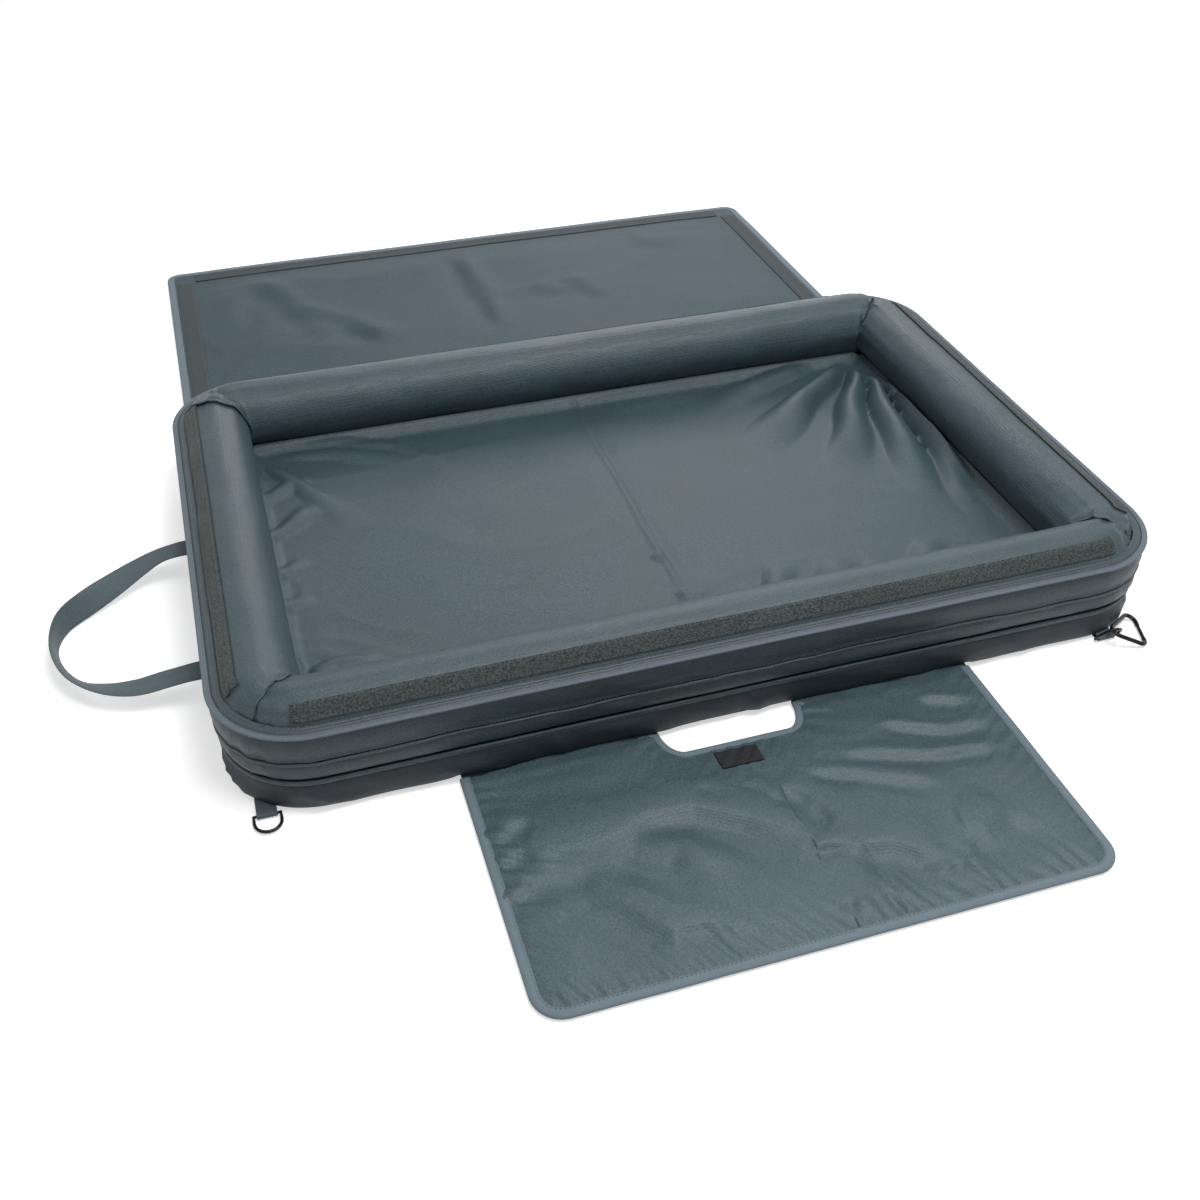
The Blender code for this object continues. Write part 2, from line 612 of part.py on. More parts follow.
def kneeling_mat(side_name, looks):
    side = SIDES[side_name]
    columns = kneel_columns(side)
    half_gap = FIT_GAP / 2
    near, fold = kneel_near, lambda x: KNEEL_FOLD_Y + half_gap
    cushion(f"kneel_lower_{side_name}", columns, near, fold, 0, looks["coated"])
    near, far = lambda x: KNEEL_FOLD_Y - half_gap, lambda x: kneel_far(x, TAPE_GRIP)
    tucked = KNEEL_CROWN_START - TAPE_GRIP
    cushion(f"kneel_upper_{side_name}", columns, near, far, tucked, looks["coated"])

    def edge_at(inset):
        radius = KNEEL_CORNER_RADIUS - inset
        side_x = side * (KNEEL_HALF_WIDTH - inset) + KNEEL_SHIFT
        points = [Vector((side_x, KNEEL_FOLD_Y - FIT_GAP / 2))]
        centre_x = side * (KNEEL_HALF_WIDTH - KNEEL_CORNER_RADIUS) + KNEEL_SHIFT
        for step in range(ARC_STEPS + 1):
            angle = math.pi / 2 * step / ARC_STEPS
            points.append(
                Vector((
                    centre_x + radius * side * math.cos(angle),
                    KNEEL_FAR_EDGE + KNEEL_CORNER_RADIUS - radius * math.sin(angle),
                ))
            )
        points.append(Vector((fold_edge(side), KNEEL_FAR_EDGE + inset)))
        return points

    rows = folded_tape(edge_at, KNEEL_TAPE_WIDTH, KNEEL_EDGE_THICKNESS)
    mesh = skin(rows)
    lift = KNEEL_UNDERSIDE + KNEEL_EDGE_THICKNESS / 2
    bmesh.ops.translate(mesh, vec=Vector((0, 0, lift)), verts=mesh.verts)
    thicken(keep(f"kneel_binding_{side_name}", mesh, looks["tape"]), TAPE_CLOTH)


def label(name, looks):
    """A bare patch sewn to the kneeling mat below the hand hole."""
    lift = FIT_GAP + LABEL_THICKNESS / 2
    right = fold_edge(-1) - LABEL_EDGE
    rows = []
    for x in (right, right - LABEL_WIDTH / 2, right - LABEL_WIDTH):
        ys = (LABEL_NEAR, LABEL_NEAR - LABEL_DEPTH / 2, LABEL_NEAR - LABEL_DEPTH)
        rows.append([Vector((x, y, kneel_top(x, y) + lift)) for y in ys])
    thicken(keep(name, skin(rows), looks["label"]), LABEL_THICKNESS)


def carry_handle(name, side, looks):
    """Webbing sewn flat at the seam, which turns on its edge to swing round, and flat again to come back."""
    low = WEBBING_WIDTH / 2 + HANDLE_FLOOR_CLEARANCE
    centres = [
        Vector((
            side * (HANDLE_ROOT + reach * HANDLE_REACH),
            spread * HANDLE_SPREAD,
            low + height * (SEAM_HEIGHT - low),
        ))
        for reach, spread, height, _ in HANDLE_SHARES
    ]
    rows = []
    for index, centre in enumerate(centres):
        before = centres[max(0, index - 1)]
        after = centres[min(len(centres) - 1, index + 1)]
        along = (after - before).normalized()
        if index in (0, len(centres) - 1):
            along = Vector((side if index == 0 else -side, 0, 0))
        level = Vector((0, 0, 1)).cross(along).normalized()
        upright = along.cross(level).normalized()
        flat = HANDLE_SHARES[index][3] * math.pi / 2
        across = (upright * math.cos(flat) + level * side * math.sin(flat)) * WEBBING_WIDTH / 2
        rows.append([centre - across, centre + across])
    smooth(thicken(keep(name, skin(rows), looks["webbing"]), WEBBING_THICKNESS))


def wire(name, points, diameter, cyclic, finish):
    """A round wire through the points, made a mesh so that it can be cut."""
    curve = bpy.data.curves.new(name, "CURVE")
    curve.dimensions = "3D"
    curve.bevel_depth = diameter / 2
    curve.bevel_resolution = 2
    curve.use_fill_caps = not cyclic
    spline = curve.splines.new("POLY")
    spline.points.add(len(points) - 1)
    for point, place in zip(spline.points, points):
        point.co = (*place, 1.0)
    spline.use_cyclic_u = cyclic
    guide = bpy.data.objects.new(name + "_guide", curve)
    bpy.data.collections[PARTS].objects.link(guide)
    bpy.context.view_layer.update()
    graph = bpy.context.evaluated_depsgraph_get()
    data = bpy.data.meshes.new_from_object(guide.evaluated_get(graph))
    bpy.data.objects.remove(guide, do_unlink=True)
    mesh = bmesh.new()
    mesh.from_mesh(data)
    bpy.data.meshes.remove(data)
    bmesh.ops.remove_doubles(mesh, verts=mesh.verts, dist=1e-6)
    return smooth(keep(name, mesh, finish), math.radians(60))


def ring_frame(where, side):
    """Where a ring's bar is, and the way out from the mat."""
    along = RING_PLACES[where, side]
    out = -1 if where == "front" else 1
    bar_out = skirt_reach(along - RING_INNER_WIDTH / 2) + RING_STANDOFF
    return Vector((side * along, out * bar_out, RING_HEIGHT)), out


def pegging_ring(where, side_name, looks):
    side = SIDES[side_name]
    bar, out = ring_frame(where, side)
    tilt = CARRIED_RING_TILT if (where, side) == ("front", 1) else 0.0
    away = Vector((0, out * math.cos(tilt), math.sin(tilt)))
    half = (RING_INNER_WIDTH + RING_WIRE) / 2
    length = RING_INNER_LENGTH + RING_WIRE
    points = [bar + Vector((-half, 0, 0)), bar + Vector((half, 0, 0))]
    for step in range(RING_ARC_STEPS + 1):
        angle = math.pi * step / RING_ARC_STEPS
        across, rise = half * math.cos(angle), length - half + half * math.sin(angle)
        points.append(bar + Vector((across, 0, 0)) + away * rise)
    wire(f"ring_{where}_{side_name}", points, RING_WIRE, True, looks["metal"])


def ring_tab(where, side_name, looks):
    """Webbing folded round the ring's bar, its two layers running back to the skirt's foot."""
    side = SIDES[side_name]
    bar, out = ring_frame(where, side)
    radius = RING_WIRE / 2 + FIT_GAP + TAB_THICKNESS / 2
    low, high = bar.z - radius, bar.z + radius
    sewn = [SKIRT_FOOT_INSET - max(0.0, z - CLOTH / 2) * SKIRT_LEAN - CLOTH for z in (low, high)]
    rows = []
    for column in range(TAB_COLUMNS):
        x = bar.x + TAB_WIDTH * (column / (TAB_COLUMNS - 1) - 0.5)
        row = [Vector((x, out * skirt_reach(x, sewn[0]), low))]
        for step in range(ARC_STEPS + 1):
            angle = math.pi * (step / ARC_STEPS - 0.5)
            row.append(bar + Vector((x - bar.x, out * radius * math.cos(angle), radius * math.sin(angle))))
        row.append(Vector((x, out * skirt_reach(x, sewn[1]), high)))
        rows.append(row)
    smooth(thicken(keep(f"ring_tab_{where}_{side_name}", skin(rows), looks["webbing"]), TAB_THICKNESS))


def cylinder(name, start, stop, diameter, finish, collection=PARTS, segments=12):
    mesh = bmesh.new()
    along = stop - start
    turn = along.to_track_quat("Z", "Y").to_matrix().to_4x4()
    place = Matrix.Translation((start + stop) / 2) @ turn
    bmesh.ops.create_cone(
        mesh,
        cap_ends=True,
        segments=segments,
        radius1=diameter / 2,
        radius2=diameter / 2,
        depth=along.length,
        matrix=place,
    )
    return smooth(keep(name, mesh, finish, collection))


def block(name, centre, axes, sizes):
    mesh = bmesh.new()
    turn = Matrix(axes).transposed().to_4x4()
    placed = Matrix.Translation(centre) @ turn @ Matrix.Diagonal((*sizes, 1.0))
    bmesh.ops.create_cube(mesh, size=1.0, matrix=placed)
    return keep(name, mesh, None, CUTTERS)


def subtract(obj, cutter):
    cutter.hide_render = True
    cutter.display_type = "WIRE"
    boolean = obj.modifiers.new("cut", "BOOLEAN")
    boolean.operation = "DIFFERENCE"
    boolean.object = cutter


def carabiner(looks):
    """A wire bent round three corners: its neck in the ring, a fork that holds the gate's tongue, a nose."""
    bar, out = ring_frame("front", 1)
    away = Vector((0, out * math.cos(CARRIED_RING_TILT), math.sin(CARRIED_RING_TILT)))
    hold = bar + away * (RING_INNER_LENGTH + RING_WIRE / 2 - CARABINER_WIRE / 2 - FIT_GAP)
    to_fork, to_nose = Vector(CARABINER_HINGE_CORNER), Vector(CARABINER_NOSE_CORNER)
    gate_line = (to_nose - to_fork).normalized()
    downhill = Vector((-gate_line.y, gate_line.x))
    bend = (to_fork.normalized() + to_nose.normalized()).normalized() * CARABINER_BEND
    run = downhill.dot(bend + to_fork) + CARABINER_BEND
    slope = (hold.z - CARABINER_WIRE / 2 - FIT_GAP / 2) / run
    spots = (bend + to_fork, bend, bend + to_nose)
    corners = [hold + Vector((*spot, -slope * downhill.dot(spot))) for spot in spots]
    fork_corner, neck, nose_corner = corners
    normal = (neck - fork_corner).cross(nose_corner - neck).normalized()
    if normal.z < 0:
        normal.negate()
    outward = []
    stops, thirds = (neck, nose_corner, fork_corner), (nose_corner, fork_corner, neck)
    for start, stop, third in zip(corners, stops, thirds):
        way = (stop - start).normalized()
        aside = way.cross(normal)
        outward.append(aside if aside.dot(third - start) < 0 else -aside)

    gate_way = (nose_corner - fork_corner).normalized()
    gate_side = outward[2] * CARABINER_BEND
    hinge = fork_corner + gate_side + gate_way * GATE_END
    nose = nose_corner + gate_side - gate_way * GATE_END
    path = [hinge + gate_way * CARABINER_WIRE / 2]
    for corner, before, after in zip(corners, (outward[2], *outward), outward):
        for step in range(CARABINER_BEND_STEPS + 1):
            turned = before.slerp(after, step / CARABINER_BEND_STEPS)
            path.append(corner + turned.normalized() * CARABINER_BEND)
    path.append(nose + gate_way * FIT_GAP)
    body = wire("carabiner_body", path, CARABINER_WIRE, False, looks["metal"])
    inward = normal.cross(gate_way)
    slot_back = CARABINER_WIRE / 2 + FIT_GAP
    slot_length = slot_back + CARABINER_WIRE / 2 + CUT_OVERRUN
    slot = block(
        "carabiner_slot",
        hinge + gate_way * (slot_length / 2 - slot_back),
        (gate_way, inward, normal),
        (slot_length, CARABINER_WIRE + CUT_OVERRUN, GATE_TONGUE + 2 * FIT_GAP),
    )
    subtract(body, slot)
    pin_half = normal * (CARABINER_WIRE / 2 - FIT_GAP / 2)
    bore_half = normal * (CARABINER_WIRE / 2 + CUT_OVERRUN)
    bore_size = GATE_PIN + 2 * PIN_CLEARANCE
    bore = cylinder("pin_bore", hinge - bore_half, hinge + bore_half, bore_size, None, CUTTERS)
    subtract(body, bore)
    cylinder("carabiner_pin", hinge - pin_half, hinge + pin_half, GATE_PIN, looks["metal"])

    gate = cylinder("carabiner_gate", hinge - gate_way * CARABINER_WIRE / 4, nose, GATE_WIRE, looks["metal"])
    subtract(gate, bore)
    cheek_length = CARABINER_WIRE / 2 + GATE_SHOULDER_GAP + CUT_OVERRUN
    for turn, cheek_name in ((-1, "gate_cheek_under"), (1, "gate_cheek_over")):
        aside = normal * turn * (GATE_TONGUE + GATE_WIRE) / 2
        cheek = block(
            cheek_name,
            hinge + gate_way * (CARABINER_WIRE / 2 + GATE_SHOULDER_GAP - cheek_length / 2) + aside,
            (gate_way, inward, normal),
            (cheek_length, GATE_WIRE + CUT_OVERRUN, GATE_WIRE),
        )
        subtract(gate, cheek)
    return hold, hinge


def pivot(name, place, pieces, under=None):
    """An empty on the axis of a joint. The pieces that turn about it hang from it, and keep their places."""
    mark = bpy.data.objects.new(name, None)
    mark.empty_display_size = PIVOT_MARK
    bpy.data.collections[PARTS].objects.link(mark)
    mark.location = place
    if under is not None:
        mark.parent = under
        mark.matrix_parent_inverse = Matrix.Translation(under.location).inverted()
    for piece in pieces:
        obj = bpy.data.objects[piece]
        obj.parent = mark
        obj.matrix_parent_inverse = Matrix.Translation(place).inverted()
    return mark


def build_half(side_name, side, looks):
    base_shell(f"base_shell_{side_name}", side, looks)
    base_slab(f"base_foam_{side_name}", side, looks)
    floor_liner(f"floor_liner_{side_name}", side, looks)
    piping(f"piping_{side_name}", side, looks)
    side_panel(f"side_panel_{side_name}", side, looks)
    rim_binding(f"rim_binding_{side_name}", side, looks)
    for where in ("end", "front", "rear"):
        bolster(side_name, where, looks)
    for where in ("end", "front"):
        loop_strip(side_name, where, looks)
    cover_drop(f"cover_drop_{side_name}", side, looks)
    cover_panel(f"cover_panel_{side_name}", side, looks)
    cover_binding(f"cover_binding_{side_name}", side, looks)
    hook_strips(side_name, looks)
    kneeling_mat(side_name, looks)
    carry_handle(f"handle_{side_name}", side, looks)
    for where in ("front", "rear"):
        ring_tab(where, side_name, looks)
        pegging_ring(where, side_name, looks)


def hang_half(side_name, side, under):
    """The hinges of one half of the mat, each with what turns about it."""
    spot = Vector((fold_edge(side), COVER_HINGE_Y, COVER_HINGE_HEIGHT))
    drop = pivot(f"cover_drop_hinge_{side_name}", spot, [f"cover_drop_{side_name}"], under)
    spot = Vector((fold_edge(side), COVER_HINGE_Y, COVER_MID_HEIGHT))
    names = ("cover_panel", "cover_binding", "hook_strip_far", "hook_strip_side")
    pivot(f"cover_panel_hinge_{side_name}", spot, [f"{name}_{side_name}" for name in names], drop)
    spot = Vector((fold_edge(side), KNEEL_HINGE_Y, KNEEL_HINGE_HEIGHT))
    names = [f"kneel_lower_{side_name}"] + ["label_patch"] * (side < 0)
    lower = pivot(f"kneel_lower_hinge_{side_name}", spot, names, under)
    spot = Vector((fold_edge(side), KNEEL_FOLD_Y, KNEEL_HINGE_HEIGHT))
    names = ("kneel_upper", "kneel_binding")
    pivot(f"kneel_upper_hinge_{side_name}", spot, [f"{name}_{side_name}" for name in names], lower)
    root = Vector((side * HANDLE_ROOT, 0, SEAM_HEIGHT))
    pivot(f"handle_hinge_{side_name}", root, [f"handle_{side_name}"], under)
    for where in ("front", "rear"):
        spot = ring_frame(where, side)[0]
        ring = pivot(f"ring_hinge_{where}_{side_name}", spot, [f"ring_{where}_{side_name}"], under)
        if (where, side) == ("front", 1):
            carried = ring
    return carried if side > 0 else None


def build():
    clear_scene()
    looks = finishes()
    for side_name, side in SIDES.items():
        build_half(side_name, side, looks)
    label("label_patch", looks)
    swing, hinge = carabiner(looks)

    turning = ("cover_", "hook_", "kneel_", "handle_", "ring_front", "ring_rear")
    right = [obj.name for obj in bpy.data.collections[PARTS].objects if obj.name.endswith("_right")]
    right = [name for name in right if not name.startswith(turning)]
    fold = pivot("fold_hinge", Vector((FOLD_LINE, 0, FOLD_HEIGHT)), right)
    hang_half("left", -1, None)
    ring = hang_half("right", 1, fold)
    carried = pivot("carabiner_swing", swing, ["carabiner_body", "carabiner_pin"], ring)
    pivot("carabiner_gate_hinge", hinge, ["carabiner_gate"], carried)


build()
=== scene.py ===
# Unhooking mat for anglers, thrown open: foam bolsters round a pleated liner, the cover flap behind them
# and the kneeling mat in front. Everything is in metres: +X runs along the mat, +Y towards the flap, and
# the floor is at z 0.
import math

import bmesh
import bpy
from mathutils import Matrix, Vector, noise


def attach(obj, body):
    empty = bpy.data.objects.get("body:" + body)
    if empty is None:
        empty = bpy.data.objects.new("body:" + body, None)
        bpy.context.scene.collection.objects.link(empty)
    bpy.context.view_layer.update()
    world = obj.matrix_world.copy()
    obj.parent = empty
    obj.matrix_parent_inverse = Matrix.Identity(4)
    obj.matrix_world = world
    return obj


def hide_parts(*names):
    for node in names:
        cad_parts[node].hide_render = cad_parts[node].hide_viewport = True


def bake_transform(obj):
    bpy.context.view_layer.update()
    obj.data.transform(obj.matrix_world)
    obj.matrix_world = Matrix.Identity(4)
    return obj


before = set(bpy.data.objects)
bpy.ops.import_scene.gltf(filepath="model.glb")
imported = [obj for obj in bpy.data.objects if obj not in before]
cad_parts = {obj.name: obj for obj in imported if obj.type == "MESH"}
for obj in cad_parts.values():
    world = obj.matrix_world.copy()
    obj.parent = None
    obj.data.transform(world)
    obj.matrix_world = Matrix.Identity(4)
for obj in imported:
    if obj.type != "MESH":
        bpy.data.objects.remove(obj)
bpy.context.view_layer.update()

workshop = bpy.data.collections.new("unhookingMat")
bpy.context.scene.collection.children.link(workshop)
halves = (("left", -1), ("right", 1))

mat = {"length": 1.050, "width": 0.702, "corner": 0.097, "foldLine": 0.0032}
halfLength, halfWidth = mat["length"] / 2, mat["width"] / 2


# Small helpers

def clamp(value, low=0.0, high=1.0):
    return max(low, min(high, value))


def smoothStep(value, start, stop):
    t = clamp((value - start) / (stop - start))
    return t * t * (3 - 2 * t)


def bell(distance, width):
    return math.exp(-((distance / width) ** 2))


# Soft noise from -1 to 1, about one lump per size
def cloudy(x, y, z=0.0, size=0.1):
    return noise.noise(Vector((x, y, z)) / size)


# Thin raised lines, 0 to 1
def ridged(x, y, z=0.0, size=0.1, sharpness=3.0):
    return (1 - min(1.0, abs(noise.noise(Vector((x, y, z)) / size)) * 1.6)) ** sharpness


# How far the nearest place on a line is, its share of the way along, and the side that x, y lies on
def nearestOnLine(line, x, y):
    lengths = [math.dist(a, b) for a, b in zip(line, line[1:])]
    forward = 1 if line[-1][0] >= line[0][0] else -1
    best, gone = None, 0.0
    for (x0, y0), (x1, y1), length in zip(line, line[1:], lengths):
        wayX, wayY = (x1 - x0) / length, (y1 - y0) / length
        along = clamp((x - x0) * wayX + (y - y0) * wayY, 0.0, length)
        offX, offY = x - x0 - wayX * along, y - y0 - wayY * along
        distance = math.hypot(offX, offY)
        if best is None or distance < best[0]:
            side = math.copysign(1, wayX * offY - wayY * offX)
            best = (distance, (gone + along) / sum(lengths), side * forward)
        gone += length
    return best


# Height that a table of folds adds here: a crest behind each line and a furrow before it, or a plain crest
def foldRise(folds, x, y, stepped=True):
    total, highest = 0.0, 0.0
    for line, firstWidth, lastWidth, height in folds:
        reach = 3 * max(firstWidth, lastWidth)
        if not (min(p[0] for p in line) - reach < x < max(p[0] for p in line) + reach):
            continue
        if not (min(p[1] for p in line) - reach < y < max(p[1] for p in line) + reach):
            continue
        distance, share, sign = nearestOnLine(line, x, y)
        width = firstWidth + (lastWidth - firstWidth) * share
        if stepped:
            t = sign * distance / width
            rise = smoothStep(share, 0.0, 0.20) * (1 - smoothStep(share, 0.70, 1.0))
            total += height * rise * t * math.exp(0.5 - 0.5 * t * t)
        else:
            rise = smoothStep(share, 0.0, 0.25) * (1 - smoothStep(share, 0.45, 1.0))
            highest = max(highest, height * rise * max(0.0, 1 - (distance / (1.5 * width)) ** 2) ** 1.2)
    return total if stepped else highest


# A surface grown row by row with extrude; each vert keeps its run along the row and its place across
def growSurface(rows, ringRows=False, ringColumns=False):
    mesh = bmesh.new()
    run = mesh.verts.layers.float.new("run")
    across = mesh.verts.layers.float.new("across")
    line = [mesh.verts.new(place) for place in rows[0]]
    pairs = list(zip(line, line[1:])) + [(line[-1], line[0])] * ringRows
    edges = [mesh.edges.new(pair) for pair in pairs]
    lines = [line]
    for row in rows[1:] + rows[:1] * ringColumns:
        grown = bmesh.ops.extrude_edge_only(mesh, edges=edges)["geom"]
        fresh = {item for item in grown if isinstance(item, bmesh.types.BMVert)}
        line = [next(e.other_vert(v) for e in v.link_edges if e.other_vert(v) in fresh) for v in line]
        edges = [item for item in grown if isinstance(item, bmesh.types.BMEdge)]
        for vert, place in zip(line, row):
            vert.co = place
        lines.append(line)
    middle = lines[len(lines) // 2]
    gone = 0.0
    for index, vert in enumerate(middle):
        if index:
            gone += (vert.co - middle[index - 1].co).length
        for line in lines:
            line[index][run] = gone
    for index in range(len(lines[0])):
        gone = 0.0
        for step, line in enumerate(lines):
            if step:
                gone += (line[index].co - lines[step - 1][index].co).length
            line[index][across] = gone
    if ringColumns:
        bmesh.ops.remove_doubles(mesh, verts=lines[0] + lines[-1], dist=1e-6)
    return mesh


def capEnds(mesh):
    openEdges = [edge for edge in mesh.edges if edge.is_boundary]
    bmesh.ops.holes_fill(mesh, edges=openEdges, sides=0)


# The bmesh becomes a named, smooth shaded object with its place in its mesh
def finishPiece(name, mesh, material, smoothAngle=60, outward=True):
    if outward:
        bmesh.ops.recalc_face_normals(mesh, faces=mesh.faces)
    mesh.edges.index_update()
    cutEdges = [edge.index for edge in mesh.edges if edge.is_boundary]
    data = bpy.data.meshes.new(name)
    mesh.to_mesh(data)
    mesh.free()
    piece = bpy.data.objects.new(name, data)
    workshop.objects.link(piece)
    data.materials.append(material)
    data.shade_smooth()
    data.set_sharp_from_angle(angle=math.radians(smoothAngle))
    for index in cutEdges:
        data.edges[index].use_edge_sharp = True
    return piece


# Solidify, growing inwards from the modelled side
def giveCloth(piece, thickness):
    solid = piece.modifiers.new("cloth", "SOLIDIFY")
    solid.thickness = thickness
    solid.offset = -1.0
    solid.use_even_offset = False
    return piece


# Rows that close round a section, with both ends filled
def closedTube(name, rows, material, smoothAngle=60):
    mesh = growSurface(rows, ringColumns=True)
    capEnds(mesh)
    return finishPiece(name, mesh, material, smoothAngle)


# Cloth that crosses the fold line; here it only gets its transform baked into its mesh
def bendAtFold(piece):
    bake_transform(piece)
    return piece


# Stops round the mat from the middle of the rear, each an anchor on the inner rectangle and the way out
def outlineStops(spacing=0.006, cornerSteps=26):
    spanX, spanY = halfLength - mat["corner"], halfWidth - mat["corner"]
    corners = ((-spanX, spanY, 90), (-spanX, -spanY, 180), (spanX, -spanY, 270), (spanX, spanY, 0))
    stops = []
    last = Vector((0.0, spanY))
    for x, y, turned in corners + ((0.0, spanY, None),):
        spot = Vector((x, y))
        run = spot - last
        count = max(1, round(run.length / spacing))
        way = run.normalized()
        out = Vector((way.y, -way.x))
        if out.dot(spot) < 0:
            out = -out
        for step in range(count):
            stops.append((last + run * step / count, out))
        if turned is not None:
            for step in range(cornerSteps):
                angle = math.radians(turned + 90 * step / cornerSteps)
                stops.append((spot.copy(), Vector((math.cos(angle), math.sin(angle)))))
        last = spot
    return stops


def wallPoint(stop, inset, height):
    anchor, out = stop
    return Vector((*(anchor + out * (mat["corner"] - inset)), height))


# How far each stop is round the outline
def ringRun(stops):
    runs, gone = [], 0.0
    for index, stop in enumerate(stops):
        if index:
            gone += (wallPoint(stop, 0, 0) - wallPoint(stops[index - 1], 0, 0)).length
        runs.append(gone)
    return runs


# 1 in the middle of a corner, 0 on the straight runs
def cornerNearness(stop):
    out = stop[1]
    return 4 * (out.x * out.y) ** 2


# Materials

def blankMaterial(name):
    made = bpy.data.materials.new(name)
    made.use_nodes = True
    made.node_tree.nodes.clear()
    return made, made.node_tree.nodes, made.node_tree.links


def addNode(nodes, kind, **values):
    node = nodes.new(kind)
    for key, value in values.items():
        if key in node.inputs:
            node.inputs[key].default_value = value
        else:
            setattr(node, key, value)
    return node


def setOrLink(links, socket, value):
    if isinstance(value, bpy.types.NodeSocket):
        links.new(value, socket)
    else:
        socket.default_value = value


def maths(nodes, links, operation, first, second):
    node = addNode(nodes, "ShaderNodeMath", operation=operation)
    setOrLink(links, node.inputs[0], first)
    setOrLink(links, node.inputs[1], second)
    return node.outputs[0]


# The source's values, moved from one range to another
def ranged(nodes, links, source, toLow, toHigh, fromLow=0.0, fromHigh=1.0):
    node = addNode(nodes, "ShaderNodeMapRange")
    node.inputs["From Min"].default_value, node.inputs["From Max"].default_value = fromLow, fromHigh
    node.inputs["To Min"].default_value, node.inputs["To Max"].default_value = toLow, toHigh
    links.new(source, node.inputs["Value"])
    return node.outputs["Result"]


def mixed(nodes, links, factor, first, second, blend="MIX"):
    node = addNode(nodes, "ShaderNodeMix", data_type="RGBA", blend_type=blend)
    for key, value in (("Factor", factor), ("A", first), ("B", second)):
        setOrLink(links, node.inputs[key], value)
    return node.outputs["Result"]


def noiseAt(nodes, links, place, **values):
    node = addNode(nodes, "ShaderNodeTexNoise", **values)
    links.new(place, node.inputs["Vector"])
    return node.outputs["Fac"]


# A surface normal raised by this height, over an earlier bump if there is one
def bumped(nodes, links, height, strength, distance, under=None):
    node = addNode(nodes, "ShaderNodeBump", Strength=strength, Distance=distance)
    links.new(height, node.inputs["Height"])
    if under is not None:
        links.new(under, node.inputs["Normal"])
    return node.outputs["Normal"]


# Thread ridges along one axis, one every pitch
def bands(nodes, links, coordinates, axis, pitch):
    wave = addNode(nodes, "ShaderNodeTexWave", wave_type="BANDS", bands_direction=axis, wave_profile="SIN",
                   Scale=0.31416 / pitch, Distortion=0.0, Detail=0.0)
    links.new(coordinates, wave.inputs["Vector"])
    return wave.outputs["Fac"]


def toned(colour, tone):
    return tuple(channel * tone for channel in colour) + (1.0,)


# A material with one shader, and the object coordinates that its textures lie on
def shadedMaterial(name, **values):
    made, nodes, links = blankMaterial(name)
    output = addNode(nodes, "ShaderNodeOutputMaterial")
    shader = addNode(nodes, "ShaderNodeBsdfPrincipled", **values)
    links.new(shader.outputs[0], output.inputs["Surface"])
    return made, nodes, links, shader, addNode(nodes, "ShaderNodeTexCoord").outputs["Object"]


# Woven cloth: threads, flecks, a little uneven colour, and small creases in the bump
def clothMaterial(name, colour, thread=0.0015, weave=0.35, rough=(0.36, 0.50), mottle=0.10, crease=0.5,
                  creaseSize=0.045, sheen=0.0, fleck=0.27, fleckSize=0.0019, gloss=0.40):
    made, nodes, links, shader, place = shadedMaterial(name)
    shader.inputs["Sheen Weight"].default_value = sheen
    shader.inputs["Sheen Roughness"].default_value = 0.45
    shader.inputs["Specular IOR Level"].default_value = gloss
    cloud = noiseAt(nodes, links, place, Scale=9.0, Detail=4.0, Roughness=0.55)
    speck = noiseAt(nodes, links, place, Scale=1 / fleckSize, Detail=2.0, Roughness=0.6)

    uneven = ranged(nodes, links, cloud, 0.0, 1.0, 0.30, 0.70)
    tint = mixed(nodes, links, uneven, toned(colour, 1 - mottle), toned(colour, 1 + mottle))
    flecked = ranged(nodes, links, speck, 1 - fleck, 1 + fleck, 0.35, 0.65)
    links.new(mixed(nodes, links, 1.0, tint, flecked, "MULTIPLY"), shader.inputs["Base Color"])
    links.new(ranged(nodes, links, cloud, *rough), shader.inputs["Roughness"])

    warp, weft, rise = (bands(nodes, links, place, axis, thread) for axis in "XYZ")
    threads = maths(nodes, links, "ADD", maths(nodes, links, "ADD", warp, weft), rise)
    grain = maths(nodes, links, "MULTIPLY", speck, 1.5 + 4 * fleck)
    threads = maths(nodes, links, "ADD", threads, grain)
    woven = bumped(nodes, links, threads, weave, 0.00025)
    folds = noiseAt(nodes, links, place, Scale=1 / creaseSize, Detail=3.0, Roughness=0.5, Distortion=0.9,
                    noise_type="RIDGED_MULTIFRACTAL", normalize=False)
    links.new(bumped(nodes, links, folds, crease, 0.0016, woven), shader.inputs["Normal"])
    return made
